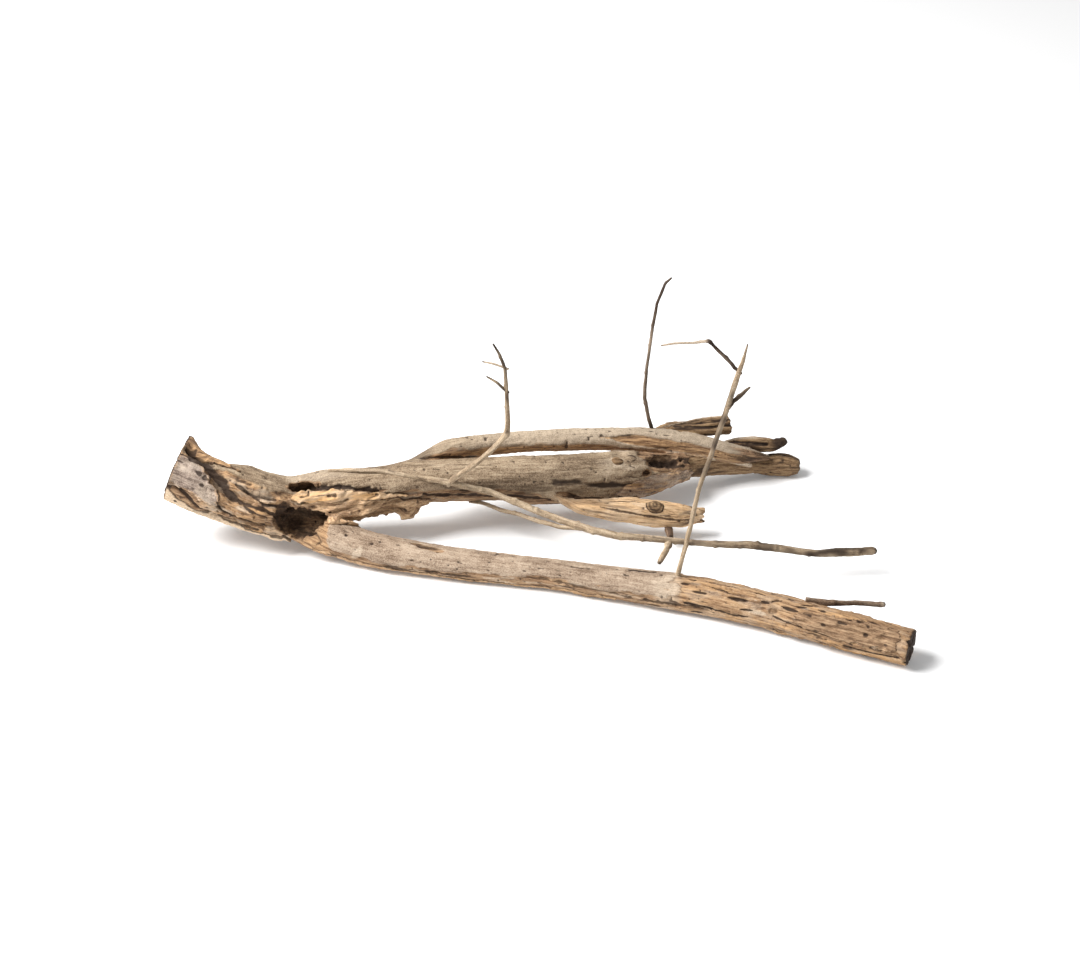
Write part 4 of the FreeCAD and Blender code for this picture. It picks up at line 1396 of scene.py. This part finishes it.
def twig_guide(name):
    """Measure a twig's knuckled middle line, rooted a little inside what it grows from."""
    axis, root_skip, tip_skip, least = TWIGS[name]
    low, high = (np.array(corner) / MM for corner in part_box(name))
    flip = name in ROOT_HIGH
    first = tip_skip if flip else root_skip
    last = root_skip if flip else tip_skip
    start, stop = low[axis] + first, high[axis] - last
    count = max(4, int((stop - start) / TWIG_SLICE))
    middles, areas = slices(name, axis, start, stop, count)
    lean = np.abs(unit(np.gradient(middles, axis=0))[:, axis])
    radius = np.sqrt(areas * lean / math.pi)
    if flip:
        middles, radius = middles[::-1], radius[::-1]
    near_root = np.arange(len(radius)) < len(radius) * ROOT_SHARE
    radius = np.where(near_root, np.maximum(radius, least), radius) * SLENDER.get(name, 1.0)
    radius = soften(radius, 0.8)
    back = unit(middles[0] - middles[3])
    rooted = [middles[:1] + back * far for far in ROOT_STEPS]
    middles = np.concatenate([*rooted, middles])
    radius = np.concatenate([[radius[0], radius[0]], radius])
    tail = unit(middles[-1] - middles[-3])
    tip = middles[-1] + tail * (tip_skip + 0.2)
    middles = np.concatenate([middles, tip[None]])
    radius = np.append(radius, radius[-1] * 0.75)
    return Guide(name, middles, radius)


def tube_faces(rings):
    """The faces of a closed tube: four-sided sides, and caps fanned from the last two points."""
    ring = np.arange(rings - 1)[:, None] * TWIG_SIDES
    side = np.arange(TWIG_SIDES)[None, :]
    beside = (side + 1) % TWIG_SIDES
    quads = np.stack([ring + side, ring + beside, ring + TWIG_SIDES + beside,
                      ring + TWIG_SIDES + side], axis=-1).reshape(-1, 4)
    root = rings * TWIG_SIDES
    caps = []
    for centre, start in ((root, 0), (root + 1, (rings - 1) * TWIG_SIDES)):
        for i in range(0, TWIG_SIDES, 2):
            fan = [start + i, start + i + 1, start + (i + 2) % TWIG_SIDES, centre]
            caps.append(fan if centre == root else fan[::-1])
    return np.concatenate([quads[:, ::-1], np.array(caps)])


def share_of(table, name, share):
    """Read a twig's row of (share of its length, value) places; 0 where it has none."""
    row = table.get(name, [(0.0, 0.0)])
    return np.interp(share, [p[0] for p in row], [p[1] for p in row])


def twig_line(rod, seed):
    """A twig's rings: their places along it, wandering middles, and radius that swells at bends."""
    rings = max(6, int(rod.length / TWIG_RING))
    s = np.linspace(0.0, rod.length, rings)
    middles = rod.at(rod.points, s)
    radius = rod.at(rod.radius, s)
    before, after = rod.at(rod.points, s - BEND_SPAN), rod.at(rod.points, s + BEND_SPAN)
    bend = np.linalg.norm(unit(after - middles + 1e-9) - unit(middles - before + 1e-9), axis=1)
    bend[:4] = bend[-4:] = 0.0
    knuckle = bpy.context.scene.branch_wood.knuckles
    radius = radius * (1.0 + knuckle * smooth_step(0.15, 0.6, soften(bend, 1.0)))
    rows = [np.stack([s, 0 * s + 9 * i, 0 * s], -1) for i in range(3)]
    wander = 0.35 * np.stack([noise(row, 16.0, seed) for row in rows], -1)
    return s, middles + wander * smooth_step(0.0, 12.0, s)[:, None], radius


def twig_relief(rod, s, angle, radius, seed):
    """A twig's grain, the relief of its bark, and how near each point is to a bud's collar."""
    draw = np.random.default_rng(seed)
    places = np.cumsum(draw.uniform(*BUD_GAPS, MOST_BUDS))
    turns = draw.uniform(-math.pi, math.pi, MOST_BUDS)
    grain = np.stack([s, radius * np.cos(angle), radius * np.sin(angle)], axis=-1)
    relief = 0.10 * radius * rough_noise(grain, (9.0, 1.4, 1.4), seed + 1, 2)
    relief += 0.07 * radius * noise(grain, (2.4, 1.6, 1.6), seed + 3)
    collar = np.zeros_like(s)
    for place, turn in zip(places, turns):
        if 12.0 < place < rod.length - 5.0:
            near = np.exp(-((s - place) / 1.5) ** 2)
            bud = near * np.exp(-(wrap(angle - turn) / 0.7) ** 2)
            relief += radius * (0.05 * near + 0.35 * bud)
            collar = np.maximum(collar, np.exp(-((s - place - 1.2) / 0.8) ** 2))
    return grain, relief, collar


def twig_piece(name):
    """A dead twig: a thin closed tube with knuckles at its bends, buds and fine grain."""
    rod = twig_guide(name)
    seed = 2000 + 10 * list(TWIGS).index(name)
    s, middles, radius = twig_line(rod, seed)
    angle = np.linspace(-math.pi, math.pi, TWIG_SIDES, endpoint=False)
    s_all, a_all = (v.ravel() for v in np.meshgrid(s, angle, indexing="ij"))
    r_all = np.repeat(radius, TWIG_SIDES)
    grain, relief, collar = twig_relief(rod, s_all, a_all, r_all, seed)
    front, up = rod.at(rod.front, s), rod.at(rod.up, s)
    out = (np.repeat(front, TWIG_SIDES, 0) * np.cos(a_all)[:, None]
           + np.repeat(up, TWIG_SIDES, 0) * np.sin(a_all)[:, None])
    points = np.repeat(middles, TWIG_SIDES, 0) + out * (r_all + relief)[:, None]
    tip = middles[-1:] + unit(middles[-1:] - middles[-2:-1]) * 0.5 * radius[-1]
    points = np.concatenate([points, middles[:1], tip])
    grain = np.concatenate([grain, [[0, 0, 0], [rod.length, 0, 0]]])
    s_all = np.concatenate([s_all, [0.0, rod.length]])
    relief = np.concatenate([relief, [0.0, 0.0]])
    collar = np.concatenate([collar, [0.0, 0.0]])
    near_tip = smooth_step(rod.length - 3.0, rod.length, s_all)
    blotch = smooth_step(0.1, 0.6, rough_noise(grain, (12.0, 3.0, 3.0), seed + 7, 2))
    # the relief term darkens the dips of the bark: painted shade
    dark = (0.3 * collar + 0.6 * near_tip + 0.35 * smooth_step(0.0, -0.16, relief)
            + 0.25 * blotch)
    share = s_all / rod.length
    mottle = 0.75 + 0.5 * noise(grain, (9.0, 3.0, 3.0), seed + 9)
    dark = np.maximum(dark, mottle * share_of(TWIG_SHADE, name, share))
    pale = 0.2 * smooth_step(0.1, 0.5, noise(grain, (20.0, 4.0, 4.0), seed + 5))
    none = np.zeros_like(s_all)
    marks = {"grain": grain, "dark": np.clip(dark, 0.0, 1.0), "warm": none, "bare": none,
             "pale": np.maximum(pale, share_of(TWIG_PALE, name, share)),
             "sawn": none, "core": none}
    build_mesh(name + "_wood", points, tube_faces(len(s)), marks, slot_of(name), [name])


# ---- finishes ------------------------------------------------------------------------------
# slot: skin light, skin middle, skin dark, bare light, bare middle, bare dark (sRGB 0-255)
TONES = {
    "weathered_wood": ((187, 167, 141), (144, 123, 99), (88, 71, 54),
                       (192, 160, 125), (146, 114, 85), (76, 54, 38)),
    "pale_wood": ((191, 171, 150), (156, 135, 114), (104, 83, 66),
                  (188, 158, 125), (148, 116, 86), (78, 54, 37)),
    "bare_tan_wood": ((218, 196, 166), (192, 165, 134), (124, 97, 72),
                      (224, 193, 155), (196, 161, 122), (108, 78, 53)),
    "brown_heartwood": ((176, 150, 122), (140, 114, 88), (90, 68, 50),
                        (172, 143, 108), (124, 97, 69), (60, 44, 32)),
    "grey_bark": ((178, 161, 147), (136, 119, 106), (80, 65, 57),
                  (182, 152, 120), (138, 109, 82), (74, 53, 39)),
    "torn_brown_wood": ((206, 178, 146), (174, 144, 114), (104, 78, 58),
                        (214, 182, 144), (180, 146, 112), (92, 66, 47)),
    "twig_wood": ((204, 184, 156), (170, 148, 121), (112, 91, 72),
                  (180, 152, 120), (142, 115, 88), (90, 66, 48)),
    "dark_twig_wood": ((140, 116, 94), (104, 82, 64), (60, 45, 35),
                       (130, 104, 80), (96, 72, 54), (54, 40, 31)),
}
TONE_NAMES = ("skin_light", "skin_middle", "skin_dark", "bare_light", "bare_middle", "bare_dark")


def linear(colour):
    """An sRGB colour of 0 to 255 as the linear colour a shader takes."""
    share = np.array(colour) / 255.0
    value = np.where(share <= 0.04045, share / 12.92, ((share + 0.055) / 1.055) ** 2.4)
    return (*value.tolist(), 1.0)


# broad, streak, hair, speck, blotch: cycles per millimetre along and across, detail,
# roughness, shift of the seed
GRAIN_FIELDS = (
    ((0.020, 0.07, 0.07), 3.0, 0.5, 0),
    ((0.045, 0.60, 0.60), 5.0, 0.62, 3),
    ((0.16, 2.2, 2.2), 3.0, 0.6, 5),
    ((0.85, 1.15, 1.15), 4.0, 0.8, 7),
    ((0.10, 0.16, 0.16), 4.0, 0.6, 9),
)


class Recipe:
    """Builds a finish's nodes one after another."""

    def __init__(self, material):
        self.tree = material.node_tree
        self.column = 0

    def node(self, kind, inputs=None, **settings):
        """Add a node; inputs are numbers, colours or outputs to join, by name or number."""
        item = self.tree.nodes.new(kind)
        self.column += 1
        item.location = (200 * (self.column % 12), -260 * (self.column // 12))
        for key, value in settings.items():
            setattr(item, key, value)
        for key, value in (inputs or {}).items():
            if isinstance(value, bpy.types.NodeSocket):
                self.tree.links.new(value, item.inputs[key])
            else:
                item.inputs[key].default_value = value
        return item

    def mark(self, name, output="Fac"):
        """Read a value kept at the mesh's points."""
        return self.node("ShaderNodeAttribute", attribute_name=name).outputs[output]

    def noise(self, grain, scale, detail, rough=0.55, seed=0.0):
        """Noise over the grain, stretched by the scale's three numbers (per millimetre)."""
        moved = self.node("ShaderNodeMapping", {"Vector": grain, "Scale": scale,
                                                "Location": (seed, seed * 1.7, seed * 0.6)})
        item = self.node("ShaderNodeTexNoise", {"Vector": moved.outputs[0], "Scale": 1.0,
                                                "Detail": detail, "Roughness": rough})
        return item.outputs[0]

    def maths(self, operation, *values):
        """One sum on numbers or outputs."""
        return self.node("ShaderNodeMath", dict(enumerate(values)), operation=operation).outputs[0]

    def between(self, value, low, high, to_low=0.0, to_high=1.0):
        """Map a value smoothly from one span to another."""
        item = self.node("ShaderNodeMapRange", {"Value": value, "From Min": low, "From Max": high,
                                                "To Min": to_low, "To Max": to_high},
                         interpolation_type="SMOOTHSTEP")
        return item.outputs[0]

    def ramp(self, value, stops):
        """Colours at places from 0 to 1."""
        item = self.node("ShaderNodeValToRGB", {"Fac": value})
        row = item.color_ramp.elements
        while len(row) < len(stops):
            row.new(0.5)
        for element, (place, colour) in zip(row, stops):
            element.position = place
            element.color = colour
        return item.outputs[0]

    def mix(self, share, first, second):
        """Mix two colours."""
        item = self.node("ShaderNodeMix", data_type="RGBA")
        for socket, value in ((item.inputs[0], share), (item.inputs[6], first), (item.inputs[7], second)):
            if isinstance(value, bpy.types.NodeSocket):
                self.tree.links.new(value, socket)
            else:
                socket.default_value = value
        return item.outputs[2]


def finish(slot):
    """The finish of one material slot, made once."""
    name = slot + "_finish"
    if name in bpy.data.materials:
        return bpy.data.materials[name]
    material = bpy.data.materials.new(name)
    material.use_nodes = True
    material.node_tree.nodes.clear()
    make = Recipe(material)
    seed = 10.0 * list(TONES).index(slot)
    chosen = bpy.context.scene.branch_finish
    tones = getattr(bpy.context.scene, "branch_tones_" + slot)
    skin_light, skin_middle, skin_dark, bare_light, bare_middle, bare_dark = (
        (*getattr(tones, label), 1.0) for label in TONE_NAMES)
    dark_tone, gold_tone, pale_tone, sawn_tone = (
        (*tone, 1.0) for tone in (chosen.dark, chosen.gold, chosen.pale, chosen.sawn))
    grain = make.mark("grain", "Vector")
    broad, streak, hair, speck, blotch = (
        make.noise(grain, scale, detail, rough, seed + shift)
        for scale, detail, rough, shift in GRAIN_FIELDS)
    tone = make.maths("MULTIPLY", broad, 0.30)
    tone = make.maths("MULTIPLY_ADD", streak, 0.40, tone)
    tone = make.maths("MULTIPLY_ADD", speck, 0.75, tone)
    tone = make.maths("MULTIPLY_ADD", blotch, 0.25, tone)
    tone = make.between(tone, 0.66, 1.04)
    skin_colour = make.ramp(tone, [(0.0, skin_dark), (0.48, skin_middle), (1.0, skin_light)])
    wood_tone = make.maths("MULTIPLY", streak, 0.8)
    wood_tone = make.maths("MULTIPLY_ADD", hair, 0.5, wood_tone)
    wood_tone = make.maths("MULTIPLY_ADD", speck, 0.35, wood_tone)
    wood_tone = make.between(wood_tone, 0.58, 1.04)
    bare_colour = make.ramp(wood_tone, [(0.0, bare_dark), (0.5, bare_middle), (1.0, bare_light)])
    edge = make.maths("MULTIPLY_ADD", make.maths("SUBTRACT", speck, 0.5), 0.9, make.mark("bare"))
    colour = make.mix(make.between(edge, 0.30, 0.70), skin_colour, bare_colour)
    gold = make.mix(make.between(wood_tone, 0.15, 0.75), bare_middle, gold_tone)
    warm = make.maths("MULTIPLY", make.mark("warm"), make.between(streak, 0.32, 0.60, 0.35, 1.0))
    colour = make.mix(warm, colour, gold)
    pale = make.maths("MULTIPLY", make.mark("pale"), make.between(speck, 0.34, 0.58, 0.4, 1.0))
    colour = make.mix(pale, colour, pale_tone)
    shade = make.maths("MULTIPLY_ADD", make.maths("SUBTRACT", speck, 0.5), 0.9, make.mark("dark"))
    grit = make.maths("MULTIPLY", make.between(speck, 0.60, 0.72), 0.35)
    shade = make.maths("MAXIMUM", make.maths("MULTIPLY", make.between(shade, 0.10, 0.95), 0.93), grit)
    colour = make.mix(shade, colour, dark_tone)
    wave = make.maths("MULTIPLY_ADD", make.mark("core"), 2.9, make.maths("MULTIPLY", blotch, 7.0))
    wave = make.maths("MULTIPLY", make.maths("SINE", wave), 0.28)
    wave = make.maths("MULTIPLY_ADD", speck, 1.6, wave)
    rings = make.mix(make.between(wave, 0.25, 1.35), dark_tone, sawn_tone)
    colour = make.mix(make.mark("sawn"), colour, rings)
    height = make.maths("MULTIPLY", streak, 0.5)
    height = make.maths("MULTIPLY_ADD", hair, 0.35, height)
    height = make.maths("MULTIPLY_ADD", speck, 0.7, height)
    bump = make.node("ShaderNodeBump", {
        "Height": height, "Strength": 0.8, "Distance": chosen.bump_depth})
    rough = make.between(speck, 0.3, 0.7, chosen.roughness, chosen.roughness - 0.18)
    shader = make.node("ShaderNodeBsdfPrincipled", {
        "Base Color": colour, "Normal": bump.outputs[0], "Roughness": rough,
        "Specular IOR Level": 0.28})
    target = make.node("ShaderNodeOutputMaterial")
    make.tree.links.new(shader.outputs[0], target.inputs[0])
    return material


# ---- settings ------------------------------------------------------------------------------
class BranchWoodSettings(bpy.types.PropertyGroup):
    """How deeply the wood is worn, cracked and covered."""

    wear: bpy.props.FloatProperty(
        name="Wear", description="How strongly weather has fluted and grained the limbs",
        default=1.0, min=0.0, max=2.0, subtype="FACTOR")
    check_depth: bpy.props.FloatProperty(
        name="Check depth", description="Depth of the short checks in the front limb",
        default=0.0019, min=0.0, max=0.004, precision=4, unit="LENGTH")
    bark_thickness: bpy.props.FloatProperty(
        name="Bark thickness", description="Thickness of the bark plates, as a share of the usual",
        default=1.0, min=0.5, max=1.5, subtype="FACTOR")
    knuckles: bpy.props.FloatProperty(
        name="Knuckles", description="How much a twig swells where it bends",
        default=0.35, min=0.0, max=1.0, subtype="FACTOR")


class BranchFinishSettings(bpy.types.PropertyGroup):
    """The stains and the surface that every finish shares."""

    # the dark colour shows real stains and also the painted shade in cracks, checks, grooves, hollows and
    # sunken relief
    dark: bpy.props.FloatVectorProperty(
        name="Dark stain", description="Colour in cracks, pits and rot", size=3,
        default=linear((44, 31, 24))[:3], min=0.0, max=1.0, subtype="COLOR")
    gold: bpy.props.FloatVectorProperty(
        name="Golden wood", description="Colour of freshly torn wood", size=3,
        default=linear((206, 162, 112))[:3], min=0.0, max=1.0, subtype="COLOR")
    # the bleached colour also serves as the painted highlight along the lips of torn sheets
    pale: bpy.props.FloatVectorProperty(
        name="Bleached wood", description="Colour of sun-bleached wood", size=3,
        default=linear((216, 198, 175))[:3], min=0.0, max=1.0, subtype="COLOR")
    sawn: bpy.props.FloatVectorProperty(
        name="Sawn end", description="Colour of the old sawn ends", size=3,
        default=linear((66, 49, 35))[:3], min=0.0, max=1.0, subtype="COLOR")
    bump_depth: bpy.props.FloatProperty(
        name="Grain depth", description="Depth of the finest grain", default=0.0014,
        min=0.0, max=0.004, precision=4, unit="LENGTH")
    roughness: bpy.props.FloatProperty(
        name="Roughness", description="Roughness of the dullest wood", default=0.92,
        min=0.2, max=1.0, subtype="FACTOR")


def tone_settings(slot):
    """The settings of one slot's six wood colours."""
    notes = {}
    for label, colour in zip(TONE_NAMES, TONES[slot]):
        notes[label] = bpy.props.FloatVectorProperty(
            name=label.replace("_", " ").capitalize(),
            description=f"{label.replace('_', ' ').capitalize()} colour of {slot.replace('_', ' ')}",
            size=3, default=linear(colour)[:3], min=0.0, max=1.0, subtype="COLOR")
    return type("BranchTones_" + slot, (bpy.types.PropertyGroup,), {"__annotations__": notes})


class BranchStageSettings(bpy.types.PropertyGroup):
    """Where the camera stands, and how bright the studio is."""

    elevation: bpy.props.FloatProperty(
        name="Camera elevation", description="Angle that the camera looks down at",
        default=math.radians(32.0), subtype="ANGLE")
    distance: bpy.props.FloatProperty(
        name="Camera distance", description="From the camera to what it aims at",
        default=2.03, unit="LENGTH")
    aim: bpy.props.FloatVectorProperty(
        name="Camera aim", description="The point that the camera aims at",
        default=(0.0104, 0.0663, 0.05), subtype="TRANSLATION", unit="LENGTH")
    lens: bpy.props.FloatProperty(
        name="Lens", description="Focal length in millimetres", default=75.0)
    floor_size: bpy.props.FloatProperty(
        name="Floor size", description="Width of the floor sheet", default=9.0, unit="LENGTH")
    floor_colour: bpy.props.FloatVectorProperty(
        name="Floor colour", description="Colour of the floor sheet", size=3, min=0.0, max=1.0,
        default=(0.90, 0.90, 0.90), subtype="COLOR")
    floor_glow: bpy.props.FloatProperty(
        name="Floor glow", description="Faint light that the floor sheet gives off", default=0.10)
    key_power: bpy.props.FloatProperty(
        name="Key light", description="Power of the large soft light at the upper left",
        default=112.0, unit="POWER")
    sky: bpy.props.FloatProperty(
        name="Studio fill", description="Strength of the light from all round", default=0.40)


# ---- operators -----------------------------------------------------------------------------
class BRANCH_OT_limbs(bpy.types.Operator):
    """Carve the butt, the limbs and the splinters, and divide them where they join"""

    bl_idname = "branch.limbs"
    bl_label = "Carve limbs"

    def execute(self, context):
        for name in wood().limbs:
            limb_piece(name)
        return {"FINISHED"}


class BRANCH_OT_bark(bpy.types.Operator):
    """Lay the bark plates, strips and torn layers over the wood"""

    bl_idname = "branch.bark"
    bl_label = "Lay bark"

    def execute(self, context):
        for name in BARK:
            bark_piece(name)
        return {"FINISHED"}


class BRANCH_OT_knots(bpy.types.Operator):
    """Set the two round knots in their limbs"""

    bl_idname = "branch.knots"
    bl_label = "Set knots"

    def execute(self, context):
        for name in KNOTS:
            knot_piece(name)
        return {"FINISHED"}


class BRANCH_OT_twigs(bpy.types.Operator):
    """Grow the dead twigs"""

    bl_idname = "branch.twigs"
    bl_label = "Grow twigs"

    def execute(self, context):
        for name in TWIGS:
            twig_piece(name)
        return {"FINISHED"}


# where the key light hangs, and how wide it is (m)
KEY_PLACE = (-1.45, -0.15, 1.75)
KEY_SIZE = 1.3


def soft_light(name, place, aim, size, power):
    """Hang a large square light and aim it."""
    lamp = bpy.data.lights.new(name, "AREA")
    lamp.size = size
    lamp.energy = power
    item = bpy.data.objects.new(name, lamp)
    item.location = place
    item.rotation_euler = (Vector(aim) - Vector(place)).to_track_quat("-Z", "Y").to_euler()
    bpy.context.scene.collection.objects.link(item)
    return item


class BRANCH_OT_stage(bpy.types.Operator):
    """Lay the floor, hang the soft lights and stand the camera"""

    bl_idname = "branch.stage"
    bl_label = "Set the stage"

    def execute(self, context):
        scene = context.scene
        chosen = scene.branch_stage
        half = chosen.floor_size / 2
        mesh = bpy.data.meshes.new("floor")
        mesh.from_pydata([(-half, -half, 0), (half, -half, 0), (half, half, 0), (-half, half, 0)],
                         [], [(0, 1, 2, 3)])
        floor = bpy.data.objects.new("floor", mesh)
        scene.collection.objects.link(floor)
        paper = bpy.data.materials.new("studio_paper")
        paper.use_nodes = True
        shader = paper.node_tree.nodes["Principled BSDF"]
        shader.inputs["Base Color"].default_value = (*chosen.floor_colour, 1.0)
        shader.inputs["Roughness"].default_value = 0.9
        shader.inputs["Specular IOR Level"].default_value = 0.1
        shader.inputs["Emission Color"].default_value = (1.0, 1.0, 1.0, 1.0)
        shader.inputs["Emission Strength"].default_value = chosen.floor_glow
        mesh.materials.append(paper)
        world = bpy.data.worlds.new("studio")
        world.use_nodes = True
        world.node_tree.nodes["Background"].inputs["Color"].default_value = (1.0, 1.0, 1.0, 1.0)
        world.node_tree.nodes["Background"].inputs["Strength"].default_value = chosen.sky
        scene.world = world
        soft_light("key_light", KEY_PLACE, (0.0, 0.0, 0.0), KEY_SIZE, chosen.key_power)
        aim = Vector(chosen.aim)
        back = Vector((0.0, -math.cos(chosen.elevation), math.sin(chosen.elevation)))
        lens = bpy.data.cameras.new("camera")
        lens.lens = chosen.lens
        lens.sensor_width = 36.0
        lens.clip_end = 50.0
        camera = bpy.data.objects.new("camera", lens)
        camera.location = aim + back * chosen.distance
        camera.rotation_euler = (math.pi / 2 - chosen.elevation, 0.0, 0.0)
        scene.collection.objects.link(camera)
        scene.camera = camera
        scene.view_settings.view_transform = "Standard"
        return {"FINISHED"}


class BRANCH_PT_panel(bpy.types.Panel):
    """Buttons that make the branch piece by piece"""

    bl_idname = "BRANCH_PT_panel"
    bl_label = "Forked branch"
    bl_space_type = "VIEW_3D"
    bl_region_type = "UI"
    bl_category = "Branch"

    def draw(self, context):
        for step in STEPS:
            self.layout.operator(step.bl_idname)
        for place, settings in SETTINGS.items():
            box = self.layout.box()
            box.label(text=place.replace("_", " ").capitalize())
            for name in settings.__annotations__:
                box.prop(getattr(context.scene, place), name)


STEPS = (BRANCH_OT_stage, BRANCH_OT_limbs, BRANCH_OT_bark, BRANCH_OT_knots, BRANCH_OT_twigs)
SETTINGS = {
    "branch_stage": BranchStageSettings,
    "branch_wood": BranchWoodSettings,
    "branch_finish": BranchFinishSettings,
    **{"branch_tones_" + slot: tone_settings(slot) for slot in TONES},
}
CLASSES = (*SETTINGS.values(), *STEPS, BRANCH_PT_panel)


def register():
    """Register the classes and put the settings on the scene."""
    for item in CLASSES:
        bpy.utils.register_class(item)
    for place, settings in SETTINGS.items():
        setattr(bpy.types.Scene, place, bpy.props.PointerProperty(type=settings))


def unregister():
    """Take the settings and the classes away again."""
    for place in SETTINGS:
        delattr(bpy.types.Scene, place)
    for item in reversed(CLASSES):
        bpy.utils.unregister_class(item)


def main():
    """Make the branch and its stage."""
    register()
    bpy.ops.branch.stage()
    bpy.ops.branch.limbs()
    bpy.ops.branch.bark()
    bpy.ops.branch.knots()
    bpy.ops.branch.twigs()


if __name__ == "__main__":
    main()
